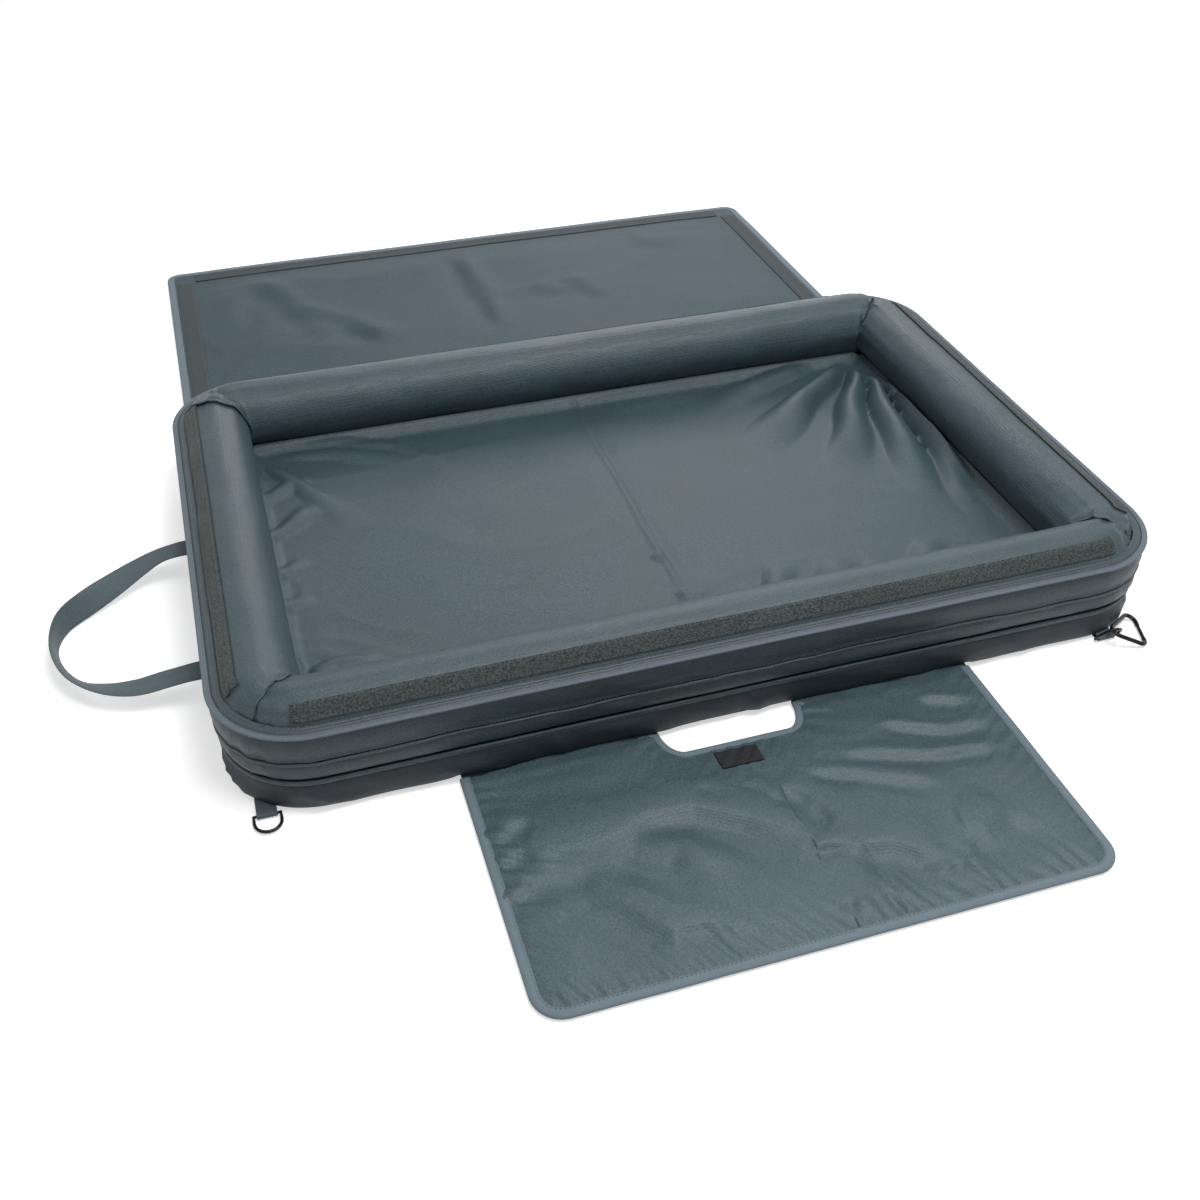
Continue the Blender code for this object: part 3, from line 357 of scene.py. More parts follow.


# Ribbed webbing or binding tape: the ribs run across it, by the piece's own run and across values, with
# painted shade in the grooves and painted highlight on the rib tops
def tapeMaterial(name, colour, rib=0.0016, strength=0.5, rough=0.62, mottle=0.10, width=0.016):
    made, nodes, links, shader, place = shadedMaterial(name, Roughness=rough)
    shader.inputs["Sheen Weight"].default_value = 0.08
    shader.inputs["Sheen Roughness"].default_value = 0.4
    run = addNode(nodes, "ShaderNodeAttribute", attribute_name="run").outputs["Fac"]
    across = addNode(nodes, "ShaderNodeAttribute", attribute_name="across").outputs["Fac"]
    slant = addNode(nodes, "ShaderNodeCombineXYZ")
    zigzag = maths(nodes, links, "PINGPONG", across, width / 4)
    links.new(maths(nodes, links, "ADD", run, maths(nodes, links, "MULTIPLY", zigzag, 0.55)), slant.inputs[0])
    links.new(across, slant.inputs[1])
    ribs = bands(nodes, links, slant.outputs[0], "X", rib)
    cords = bands(nodes, links, slant.outputs[0], "Y", rib * 0.8)

    cloud = noiseAt(nodes, links, place, Scale=22.0, Detail=3.0)
    tint = mixed(nodes, links, cloud, toned(colour, 1 - mottle), toned(colour, 1 + mottle))
    # Painted shade and highlight: the tint goes from 0.80 in the grooves between ribs to 1.15 on their tops
    ribShadeAndHighlight = ranged(nodes, links, ribs, 0.80, 1.15)
    links.new(mixed(nodes, links, 1.0, tint, ribShadeAndHighlight, "MULTIPLY"), shader.inputs["Base Color"])
    height = maths(nodes, links, "ADD", ribs, maths(nodes, links, "MULTIPLY", cords, 0.5))
    links.new(bumped(nodes, links, height, strength, 0.0004), shader.inputs["Normal"])
    return made


# Black lacquered wire, a little rubbed
def metalMaterial(name, colour, rough, scratch=0.25):
    made, nodes, links, shader, place = shadedMaterial(name, Metallic=0.85)
    wear = noiseAt(nodes, links, place, Scale=260.0, Detail=5.0, Roughness=0.7)
    worn = ranged(nodes, links, wear, 0.0, 1.0, 0.56, 0.72)
    rubbed = maths(nodes, links, "MULTIPLY", worn, scratch)
    bare = tuple(min(1.0, channel * 5 + 0.05) for channel in colour) + (1.0,)
    links.new(mixed(nodes, links, rubbed, (*colour, 1.0), bare), shader.inputs["Base Color"])
    links.new(ranged(nodes, links, wear, rough, rough + 0.18), shader.inputs["Roughness"])
    links.new(bumped(nodes, links, wear, 0.12, 0.0002), shader.inputs["Normal"])
    return made


looks = {
    "lining": clothMaterial("coatedLining", (0.0390, 0.0650, 0.0760), rough=(0.38, 0.50), crease=0.40,
                            creaseSize=0.055, gloss=0.34),
    "sleeve": clothMaterial("coatedSleeve", (0.0430, 0.0690, 0.0800), rough=(0.36, 0.48), crease=0.34,
                            creaseSize=0.040, gloss=0.36),
    "panel": clothMaterial("coatedPanel", (0.0310, 0.0520, 0.0620), rough=(0.40, 0.54), crease=0.40),
    "skirt": clothMaterial("skirtCloth", (0.0070, 0.0135, 0.0200), rough=(0.50, 0.64), crease=0.60),
    "flap": clothMaterial("coatedFlap", (0.0410, 0.0670, 0.0790), rough=(0.46, 0.60), crease=0.45,
                          creaseSize=0.075, gloss=0.20),
    "kneeling": clothMaterial("coatedKneelingMat", (0.0580, 0.0930, 0.1070), rough=(0.36, 0.48), crease=0.62,
                              creaseSize=0.050, gloss=0.36),
    "edge": clothMaterial("sleeveEdge", (0.040, 0.060, 0.070), rough=(0.38, 0.50), crease=0.45,
                          creaseSize=0.018),
    "loop": clothMaterial("loopPile", (0.042, 0.054, 0.052), thread=0.0018, weave=0.9, rough=(0.85, 0.95),
                          mottle=0.22, crease=0.0, sheen=0.10, fleck=0.60, fleckSize=0.0024),
    "hook": clothMaterial("hookTape", (0.030, 0.042, 0.046), thread=0.0018, weave=0.9, rough=(0.62, 0.75),
                          crease=0.1, fleck=0.25, fleckSize=0.0020),
    "patch": clothMaterial("barePatch", (0.010, 0.011, 0.012), thread=0.0012, weave=0.7, rough=(0.60, 0.72),
                           mottle=0.15, crease=0.05),
    "tape": tapeMaterial("bindingTape", (0.135, 0.182, 0.215), width=0.0105),
    # The rim tape is the lavender binding tape made darker: painted shade for the rim's sides that turn from
    # the light, laid over its top as well
    "shadedFlangeTape": tapeMaterial("rimTapeDarkenedAsShade", (0.100, 0.132, 0.158), width=0.0064),
    "webbing": tapeMaterial("handleWebbing", (0.074, 0.106, 0.122), rib=0.0024, strength=0.8, width=0.030),
    "thread": tapeMaterial("sewingThread", (0.115, 0.145, 0.165), rib=0.0007, strength=0.4, rough=0.5,
                           width=0.002),
    "metal": metalMaterial("blackWire", (0.012, 0.013, 0.015), 0.22),
}
print("materials:", len(looks))


# Camera, at the photograph's place

view = {
    "place": (-0.4399, -1.2612, 0.9701), "lens": 39.31, "sensor": 36.0,
    "right": (0.9538, -0.3004, 0.0021), "up": (0.1868, 0.5985, 0.7790), "back": (-0.2353, -0.7426, 0.6270),
}

cameraData = bpy.data.cameras.new("studioCamera")
cameraData.lens, cameraData.sensor_width = view["lens"], view["sensor"]
cameraData.clip_start, cameraData.clip_end = 0.05, 60.0
camera = bpy.data.objects.new("studioCamera", cameraData)
bpy.context.scene.collection.objects.link(camera)
turn = Matrix((view["right"], view["up"], view["back"])).transposed()
camera.matrix_world = Matrix.Translation(view["place"]) @ turn.to_quaternion().to_matrix().to_4x4()
bpy.context.scene.camera = camera
bpy.context.scene.view_settings.view_transform = "Standard"


# Studio: pale floor, white surroundings, three soft lamps

studio = {
    "overhead": {"place": (0.50, -0.60, 2.6), "aim": (0.10, 0.05, 0.0), "size": (1.5, 1.0), "power": 56.0},
    "rear": {"place": (0.95, 2.6, 1.7), "aim": (0.1, 0.0, 0.0), "size": (1.6, 1.0), "power": 25.0},
    "side": {"place": (-2.4, -0.6, 1.5), "aim": (-0.2, 0.0, 0.05), "size": (1.4, 1.0), "power": 4.0},
    "white": (1.0, 1.0, 1.0, 1.0),
    "surroundings": 0.28,
    "floorColour": (0.80, 0.80, 0.80),
    "floorGlow": 0.55,
}


def softLamp(name, place, aim, size, power):
    data = bpy.data.lights.new(name, "AREA")
    data.shape = "RECTANGLE"
    data.size, data.size_y = size
    data.energy = power
    lamp = bpy.data.objects.new(name, data)
    bpy.context.scene.collection.objects.link(lamp)
    way = Vector(aim) - Vector(place)
    lamp.matrix_world = Matrix.Translation(place) @ way.to_track_quat("-Z", "Y").to_matrix().to_4x4()


# 1 for what the camera, a shiny surface or clear stuff looks at
def seenDirectly(nodes, links, path):
    shiny, clear = path.outputs["Is Glossy Ray"], path.outputs["Is Transmission Ray"]
    mirrored = maths(nodes, links, "MAXIMUM", shiny, clear)
    return maths(nodes, links, "MAXIMUM", path.outputs["Is Camera Ray"], mirrored)


# The seen shader where something looks straight at it, and the hidden one for the light it gives
def showWhereSeen(nodes, links, output, hidden, seen):
    mixer = addNode(nodes, "ShaderNodeMixShader")
    path = addNode(nodes, "ShaderNodeLightPath")
    links.new(seenDirectly(nodes, links, path), mixer.inputs[0])
    links.new(hidden.outputs[0], mixer.inputs[1])
    links.new(seen.outputs[0], mixer.inputs[2])
    links.new(mixer.outputs[0], output.inputs["Surface"])


def buildSurroundings():
    world = bpy.data.worlds.new("studioWorld")
    bpy.context.scene.world = world
    world.use_nodes = True
    nodes, links = world.node_tree.nodes, world.node_tree.links
    nodes.clear()
    output = addNode(nodes, "ShaderNodeOutputWorld")
    glow = addNode(nodes, "ShaderNodeBackground", Color=studio["white"], Strength=studio["surroundings"])
    white = addNode(nodes, "ShaderNodeBackground", Color=studio["white"], Strength=1.0)
    showWhereSeen(nodes, links, output, glow, white)


def buildFloor():
    floorMesh = bmesh.new()
    bmesh.ops.create_grid(floorMesh, x_segments=2, y_segments=2, size=9.0)
    made, nodes, links = blankMaterial("studioFloor")
    output = addNode(nodes, "ShaderNodeOutputMaterial")
    shader = addNode(nodes, "ShaderNodeBsdfPrincipled", Roughness=0.9)
    shader.inputs["Base Color"].default_value = (*studio["floorColour"], 1.0)
    shader.inputs["Specular IOR Level"].default_value = 0.1
    glow = addNode(nodes, "ShaderNodeEmission", Color=studio["white"], Strength=studio["floorGlow"])
    both = addNode(nodes, "ShaderNodeAddShader")
    links.new(shader.outputs[0], both.inputs[0])
    links.new(glow.outputs[0], both.inputs[1])
    showWhereSeen(nodes, links, output, shader, both)
    floor = finishPiece("studioFloor", floorMesh, made)
    floor.data.transform(Matrix.Translation((0, 0, -0.0005)))


for lampName in ("overhead", "rear", "side"):
    softLamp(lampName + "Lamp", **studio[lampName])
buildSurroundings()
buildFloor()
print("studio ready")


# Stitches: little humps of thread, laid in rows

# Adds thread humps to the bmesh along a line of places; ups are the cloth's own normals there
def stitchRow(mesh, places, ups, pitch=0.0042, length=0.0026, radius=0.00035, lift=0.0001):
    marks = [0.0]
    for first, second in zip(places, places[1:]):
        marks.append(marks[-1] + (second - first).length)
    count = int(marks[-1] / pitch)
    index = 0
    for number in range(count):
        target = (number + 0.5) * pitch
        while index < len(marks) - 2 and marks[index + 1] < target:
            index += 1
        share = (target - marks[index]) / max(1e-9, marks[index + 1] - marks[index])
        spot = places[index].lerp(places[index + 1], share)
        up = ups[index].lerp(ups[index + 1], share).normalized()
        along = (places[index + 1] - places[index]).normalized()
        side = up.cross(along).normalized()
        turned = Matrix((along, side, up)).transposed().to_4x4()
        shape = Matrix.Diagonal((length / 2, radius, radius * 1.1, 1.0))
        placed = Matrix.Translation(spot + up * lift) @ turned @ shape
        bmesh.ops.create_icosphere(mesh, subdivisions=1, radius=1.0, matrix=placed)


# A stitch line on cloth that lies level
def onLevel(places):
    return places, [Vector((0, 0, 1))] * len(places)


def stitchPiece(name, rows, body=None, fold=False, **values):
    mesh = bmesh.new()
    mesh.verts.layers.float.new("run")
    mesh.verts.layers.float.new("across")
    for places, ups in rows:
        stitchRow(mesh, places, ups, **values)
    piece = finishPiece(name, mesh, looks["thread"], outward=False)
    if fold:
        bendAtFold(piece)
    elif body:
        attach(piece, body)
    return piece


# Base: skirt of dark cloth round the foam slab, and the panel under it

skirt = {
    "profile": (                                     # inset from the outline, height
        (0.030, 0.0009), (0.014, 0.0008), (0.0104, 0.0010), (0.0072, 0.0034), (0.0048, 0.0080),
        (0.0038, 0.0140), (0.0036, 0.0200), (0.0040, 0.0260), (0.0050, 0.0310), (0.0068, 0.0350),
        (0.0090, 0.0374),
    ),
    "bag": 0.0036, "foldDepth": 0.0042, "pleatDepth": 0.0030, "pleatX": 0.0085, "pleatHalf": 0.006,
    "thickness": 0.0012, "overPad": 0.0064, "padMargin": 0.010, "underInset": 0.012,
}


# Diagonal bags and folds, fading to nothing at the foot and the seam
def skirtWrinkle(run, height, stop):
    fade = math.sin(math.pi * clamp((height - 0.002) / 0.034)) ** 0.6
    x, y = stop[0] + stop[1] * mat["corner"]
    slant = run + height * 1.6
    bag = cloudy(slant, height * 2.2, 3.1, 0.075) + 0.5 * cloudy(slant, height * 3.0, 7.7, 0.032)
    fold = skirt["foldDepth"] * ridged(slant * 0.8, height * 1.4, 1.7, 0.085, 5.0)
    pinch = 0.0
    if y < -0.3:                                     # the pleat near the middle of the front
        pinch = skirt["pleatDepth"] * bell(x - skirt["pleatX"], skirt["pleatHalf"])
    return (skirt["bag"] * bag + fold - 0.0006 - pinch) * fade


# The skirt's lowest height: it lies on the kneeling mat in front
def skirtFoot(stop):
    if stop[1].y > -0.9:
        return 0.0
    onPad = kneeling["half"] + skirt["padMargin"] - abs(stop[0].x - kneeling["shift"])
    return skirt["overPad"] * smoothStep(onPad, 0.0, skirt["padMargin"])


def buildSkirt():
    stops = outlineStops()
    runs = ringRun(stops)
    rows = []
    for inset, height in skirt["profile"]:
        rows.append([wallPoint(stop, inset - skirtWrinkle(run, height, stop), max(height, skirtFoot(stop)))
                     for stop, run in zip(stops, runs)])
    piece = finishPiece("skirt", growSurface(rows, ringRows=True), looks["skirt"])
    giveCloth(piece, skirt["thickness"])
    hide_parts("base_shell_left", "base_shell_right")
    bendAtFold(piece)


def buildBasePanel():
    rows = []
    reach = halfLength - skirt["underInset"]
    count = 150
    for column in range(count + 1):
        x = -reach * math.cos(math.pi * column / count)
        past = max(0.0, abs(x) - (halfLength - mat["corner"]))
        radius = mat["corner"] - skirt["underInset"]
        side = halfWidth - mat["corner"] + math.sqrt(max(0.0, radius ** 2 - past ** 2))
        rows.append([Vector((x, side * (2 * step / 40 - 1), 0.0013)) for step in range(41)])
    under = finishPiece("basePanel", growSurface(rows), looks["skirt"])
    giveCloth(under, 0.0008)
    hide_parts("base_foam_left", "base_foam_right")
    bendAtFold(under)


# Piping between skirt and wall: a corded roll with a thinner welt under it

piping = {
    "height": 0.0398, "inset": 0.0062, "radius": 0.0024,
    "weltHeight": 0.0362, "weltInset": 0.0072, "weltRadius": 0.0015, "wander": 0.0005,
}


def tubeRows(stops, inset, height, radius, steps=12):
    runs = ringRun(stops)
    wander = piping["wander"]
    rows = []
    for step in range(steps):
        angle = math.tau * step / steps
        rows.append([
            wallPoint(stop, inset - radius * math.cos(angle) + wander * cloudy(run, 0.3, 0, 0.06),
                      height + radius * math.sin(angle) + wander * cloudy(run, 5.3, 0, 0.11))
            for stop, run in zip(stops, runs)
        ])
    return rows


def buildPiping():
    stops = outlineStops()
    rollRows = tubeRows(stops, piping["inset"], piping["height"], piping["radius"])
    roll = finishPiece("pipingRoll", growSurface(rollRows, True, True), looks["panel"])
    weltRows = tubeRows(stops, piping["weltInset"], piping["weltHeight"], piping["weltRadius"], 8)
    # The welt wears the rim tape that is darkened as painted shade
    welt = finishPiece("pipingWelt", growSurface(weltRows, True, True), looks["shadedFlangeTape"])
    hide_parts("piping_left", "piping_right")
    for piece in (roll, welt):
        bendAtFold(piece)


# Side wall: lower band, topstitched ridge, upper panel

wall = {
    "profile": (                                     # inset from the outline, height
        (0.0100, 0.0422), (0.0070, 0.0438), (0.0048, 0.0475), (0.0036, 0.0530), (0.0040, 0.0590),
        (0.0058, 0.0635), (0.0072, 0.0650), (0.0060, 0.0664), (0.0054, 0.0680), (0.0042, 0.0692),
        (0.0038, 0.0706), (0.0046, 0.0722), (0.0036, 0.0760), (0.0030, 0.0820), (0.0036, 0.0880),
        (0.0052, 0.0940), (0.0078, 0.0985), (0.0104, 0.1006),
    ),
    "bag": 0.0014, "gather": 0.0030, "thickness": 0.0012,
    "stitchInset": 0.0038, "stitchHeight": 0.0702, "cordInset": 0.0040, "cordHeight": 0.0664, "cord": 0.0017,
}


def wallWrinkle(run, height, stop):
    fade = math.sin(math.pi * clamp((height - 0.041) / 0.061)) ** 0.7
    near = cornerNearness(stop)
    bag = wall["bag"] * (cloudy(run, height * 4, 2.2, 0.12) + 0.6 * cloudy(run, height * 2, 9.1, 0.045))
    line = wall["bag"] * 1.4 * ridged(run + height * 0.9, height * 2.0, 4.4, 0.10, 4.0)
    gather = wall["gather"] * near * ridged(run * 1.0, height * 0.55, 6.6, 0.022, 1.5)
    return (bag + line + gather - 0.0004) * fade


def buildWall():
    stops = outlineStops()
    runs = ringRun(stops)
    rows = []
    for inset, height in wall["profile"]:
        rows.append([wallPoint(stop, inset - wallWrinkle(run, height, stop), height)
                     for stop, run in zip(stops, runs)])
    piece = finishPiece("sideWall", growSurface(rows, ringRows=True), looks["panel"])
    giveCloth(piece, wall["thickness"])
    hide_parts("side_panel_left", "side_panel_right")
    bendAtFold(piece)
    places, ups = [], []
    for stop, run in zip(stops + stops[:1], runs + runs[:1]):
        inset = wall["stitchInset"] - wallWrinkle(run, wall["stitchHeight"] + 0.0002, stop)
        places.append(wallPoint(stop, inset, wall["stitchHeight"]))
        ups.append(Vector((*stop[1], 0.0)))
    stitchPiece("wallStitches", [(places, ups)], fold=True)
    buildWallCord(stops, runs)


# The corded ridge between the lower band and the upper panel
def buildWallCord(stops, runs):
    rows = []
    for step in range(10):
        angle = math.tau * step / 10
        row = []
        for stop, run in zip(stops, runs):
            inset = wall["cordInset"] - wallWrinkle(run, wall["cordHeight"] + 0.0001, stop)
            height = wall["cordHeight"] + 0.0006 * cloudy(run, 3.0, 0, 0.10)
            row.append(wallPoint(stop, inset - wall["cord"] * math.cos(angle),
                                 height + wall["cord"] * math.sin(angle)))
        rows.append(row)
    roll = finishPiece("wallCord", growSurface(rows, True, True), looks["edge"])
    bendAtFold(roll)


# Rim: a flange bound with tape, all the way round

rim = {
    "height": 0.1022, "depth": 0.0064, "half": 0.0014, "wave": 0.0007, "stitchInset": 0.0049,
    "bandFrom": 0.0066, "bandTo": 0.0165, "bandRise": 0.0010, "gather": 0.0007, "gatherPitch": 0.0115,
    "groove": 0.0007,
}


def rimLift(run):
    return rim["wave"] * (cloudy(run, 1.5, 0, 0.16) + 0.5 * cloudy(run, 8.5, 0, 0.05))


def buildRim():
    stops = outlineStops()
    runs = ringRun(stops)
    half, depth = rim["half"], rim["depth"]
    section = (
        (depth, -0.8), (0.0020, -1.0), (0.0007, -0.86), (0.0001, -0.4), (0.0, 0.0), (0.0001, 0.4),
        (0.0007, 0.86), (0.0020, 1.0), (depth * 0.8, 1.0), (depth, 0.8),
    )
    rows = []
    for inset, share in section:
        rows.append([wallPoint(stop, inset, rim["height"] + half * share + rimLift(run))
                     for stop, run in zip(stops, runs)])
    # The binding wears the rim tape that is darkened as painted shade
    piece = finishPiece("rimBinding", growSurface(rows, True, True), looks["shadedFlangeTape"])
    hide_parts("rim_binding_left", "rim_binding_right")
    bendAtFold(piece)
    places = [wallPoint(stop, rim["stitchInset"], rim["height"] + half + rimLift(run))
              for stop, run in zip(stops + stops[:1], runs + runs[:1])]
    stitchPiece("rimStitches", [onLevel(places)], fold=True)
    buildSleeveEdge(stops, runs)


# The sleeve's turned edge, arched a little and gathered on the corners
def sleeveEdgePoint(stop, run, share):
    inset = rim["bandFrom"] + (rim["bandTo"] - rim["bandFrom"]) * share
    arch = rim["bandRise"] * math.sin(math.pi * clamp(share * 0.9 + 0.05)) + 0.0012 * share
    gather = math.sin(run * math.tau / rim["gatherPitch"] + 3 * cloudy(run, 2.0, 0, 0.06))
    gather *= rim["gather"] * (0.25 + 0.75 * cornerNearness(stop)) * math.sin(math.pi * share)
    groove = rim["groove"] * bell(share - 0.5, 0.09)
    lift = 0.0002 + 0.0012 * smoothStep(share, 0.0, 0.3) + arch + gather - groove
    return wallPoint(stop, inset, rim["height"] + lift + rimLift(run))


def buildSleeveEdge(stops, runs):
    shares = (0.0, 0.02, 0.12, 0.25, 0.38, 0.46, 0.50, 0.54, 0.62, 0.75, 0.88, 1.0)
    rows = [[sleeveEdgePoint(stop, run, share) for stop, run in zip(stops, runs)] for share in shares]
    piece = finishPiece("sleeveEdge", growSurface(rows, ringRows=True), looks["edge"], 80)
    giveCloth(piece, 0.0008)
    bendAtFold(piece)
    lines = []
    for share in (0.24, 0.76):
        lines.append(onLevel([sleeveEdgePoint(stop, run, share)
                              for stop, run in zip(stops + stops[:1], runs + runs[:1])]))
    stitchPiece("sleeveEdgeStitches", lines, fold=True)


# Bolsters: an oval foam roll in a sleeve on each side, mitred at the corners

bolster = {
    "inset": 0.0505, "height": 0.0804, "halfWidth": 0.0425, "halfHeight": 0.0440, "steps": 64,
    "mitreSink": 0.0034, "mitreReach": 0.010, "pucker": 0.0024, "puckerReach": 0.055, "sag": 0.0024,
    "gather": 0.0011, "gatherPitch": 0.0125, "floorPress": 0.004,
}


# A point on the sleeve: angle 0 faces out, 90 faces up, 180 faces the liner
def bolsterPoint(stop, angle, grow, run=0.0, toMitre=1.0):
    sink = bolster["mitreSink"] * bell(toMitre, bolster["mitreReach"])
    ray = ridged(run * 0.25, angle * 0.9, 2.0 + (stop[1].x > 0.7), 0.36, 2.0)
    pucker = bolster["pucker"] * math.exp(-toMitre / bolster["puckerReach"]) * (ray - 0.3) * 1.6
    soft = bolster["sag"] * 0.5 * cloudy(run, angle * 0.12, 4.0, 0.15)
    soft += 0.0006 * cloudy(run, angle * 0.09, 14.0, 0.04)
    outer = clamp(1 - abs(angle - 0.62) / 0.75) if angle < 3 else 0.0
    gather = math.sin(run * math.tau / bolster["gatherPitch"] + 4.0 * cloudy(run, angle * 0.03, 21.0, 0.03))
    pucker += bolster["gather"] * cornerNearness(stop) ** 0.5 * outer * gather
    press = bolster["floorPress"] * clamp(-math.sin(angle) - 0.75) * 2  # flat where it rests on the slab
    reach = grow - sink + pucker + soft - press
    inset = bolster["inset"] - (bolster["halfWidth"] + reach) * math.cos(angle)
    return wallPoint(stop, inset, bolster["height"] + (bolster["halfHeight"] + reach) * math.sin(angle))


# The stops of one bolster, from mitre to mitre, with the distance to the nearer mitre
def bolsterStops(where):
    aim = Vector({"front": (0, -1), "rear": (0, 1), "left": (-1, 0), "right": (1, 0)}[where])
    stops = outlineStops(0.007, 56)
    if where == "rear":
        stops = stops[len(stops) // 2:] + stops[:len(stops) // 2]
    limit = math.cos(math.radians(45.01))
    chosen = [stop for stop in stops if stop[1].dot(aim) >= limit]
    runs, gone = [0.0], 0.0
    for first, second in zip(chosen, chosen[1:]):
        gone += (wallPoint(second, bolster["inset"], 0) - wallPoint(first, bolster["inset"], 0)).length
        runs.append(gone)
    return [(stop, run, min(run, gone - run)) for stop, run in zip(chosen, runs)]


def buildBolster(where, nodes, body=None):
    steps = bolster["steps"]
    stops = bolsterStops(where)
    rows = []
    for step in range(steps):
        angle = math.tau * step / steps
        rows.append([bolsterPoint(stop, angle, -0.0006, run, near) for stop, run, near in stops])
    piece = closedTube("bolster" + where.capitalize(), rows, looks["sleeve"], 50)
    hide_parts(*nodes)
    if body is None:
        bendAtFold(piece)
    else:
        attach(piece, body)
    return piece


# Corded welts in the mitres, and the rear sleeve lapping over the left one

mitre = {
    "weltRadius": 0.0013, "from": -35, "to": 215, "lapTurn": 30.0, "lapLift": 0.0016, "lapMargin": 8,
    "lapAt": 130, "lapUnder": 5, "perDegree": 0.0008,
}


def cornerStop(signX, signY, degrees):
    anchor = Vector((signX * (halfLength - mat["corner"]), signY * (halfWidth - mat["corner"])))
    return anchor, Vector((math.cos(math.radians(degrees)), math.sin(math.radians(degrees))))


# A round cord along a line of places; outs point away from the cloth that it lies on
def cordThrough(name, places, outs, radius, material, steps=8):
    rows = []
    for step in range(steps):
        angle = math.tau * step / steps
        row = []
        for index, (place, out) in enumerate(zip(places, outs)):
            along = (places[min(len(places) - 1, index + 1)] - places[max(0, index - 1)]).normalized()
            side = along.cross(out).normalized()
            row.append(place + (out * math.cos(angle) + side * math.sin(angle)) * radius)
        rows.append(row)
    return closedTube(name, rows, material)


# The way from the bolster's middle to a place on its sleeve
def outwards(stop, place):
    return (place - wallPoint(stop, bolster["inset"], bolster["height"])).normalized()


def buildMitreWelts():
    corners = (("FrontLeft", -1, -1, 225), ("FrontRight", 1, -1, 315), ("RearRight", 1, 1, 45))
    for name, signX, signY, degrees in corners:
        stop = cornerStop(signX, signY, degrees)
        turns = [mitre["from"] + (mitre["to"] - mitre["from"]) * step / 60 for step in range(61)]
        places = [bolsterPoint(stop, math.radians(turn), 0.0004, 0.0, 0.0) for turn in turns]
        outs = [outwards(stop, place) for place in places]
        piece = cordThrough("mitreWelt" + name, places, outs, mitre["weltRadius"], looks["sleeve"])
        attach(piece, "right_half" if signX > 0 else "left_half")


def buildSleeveLap():
    low, high = mitre["from"] + mitre["lapMargin"], mitre["to"] - mitre["lapMargin"]
    last = 14
    rows, edge, outs = [], [], []
    for step in range(last + 1):
        row = []
        for turn in range(49):
            share = turn / 48
            reach = mitre["lapTurn"] * (0.25 + 0.75 * math.sin(math.pi * clamp(share * 1.15)) ** 0.8)
            past = (mitre["lapUnder"] + reach) * step / last
            stop = cornerStop(-1, 1, mitre["lapAt"] + past)
            toMitre = abs(mitre["lapUnder"] - past) * mitre["perDegree"] + 0.004
            lift = mitre["lapLift"] * (1 + 0.8 * cloudy(share, step / last, 3.0, 0.25))
            lift += 0.0010 * ridged(share * 0.8, step * 0.02, 1.0, 0.12)
            row.append(bolsterPoint(stop, math.radians(low + (high - low) * share), lift, toMitre=toMitre))
            if step == last:
                edge.append(row[-1])
                outs.append(outwards(stop, row[-1]))
        rows.append(row)
    lap = giveCloth(finishPiece("sleeveLap", growSurface(rows), looks["sleeve"], 75), 0.0010)
    welt = cordThrough("mitreWeltRearLeft", edge, outs, mitre["weltRadius"], looks["sleeve"])
    for piece in (lap, welt):
        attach(piece, "left_half")


# Loop strips on the bolsters, each stitched along both edges

loopStrip = {
    "low": 40.0, "high": 65.0, "thickness": 0.0012, "clear": 0.0003, "frontHalf": 0.447, "endHalf": 0.275,
}


def buildLoopStrip(where, nodes, body=None, turned=0.0):
    axis, limit = (0, loopStrip["frontHalf"]) if where == "front" else (1, loopStrip["endHalf"])
    stops = [stop for stop in bolsterStops(where) if abs(wallPoint(stop[0], 0.03, 0)[axis]) <= limit]
    low, high = math.radians(loopStrip["low"] + turned), math.radians(loopStrip["high"] + turned)
    under, over = loopStrip["clear"], loopStrip["clear"] + loopStrip["thickness"]
    section = [(low, under), (low, over * 0.8), (low + 0.02, over)]
    section += [(low + (high - low) * step / 8, over) for step in range(1, 8)]
    section += [(high - 0.02, over), (high, over * 0.8), (high, under)]
    rows = []
    for angle, grow in section:
        rows.append([bolsterPoint(stop, angle, grow, run, near) for stop, run, near in stops])
    piece = closedTube("loopStrip" + where.capitalize(), rows, looks["loop"], 50)
    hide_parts(*nodes)
    lines = []
    for angle in (low + 0.05, high - 0.05):
        places = [bolsterPoint(stop, angle, over, run, near) for stop, run, near in stops]
        lines.append((places, [outwards(stop[0], place) for stop, place in zip(stops, places)]))
    if body is None:
        bendAtFold(piece)
    else:
        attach(piece, body)
    stitchPiece("loopStitches" + where.capitalize(), lines, body=body, fold=body is None)


# Floor liner: a crease on the fold line, pleats fanning from the rear right corner, puckers along the seams

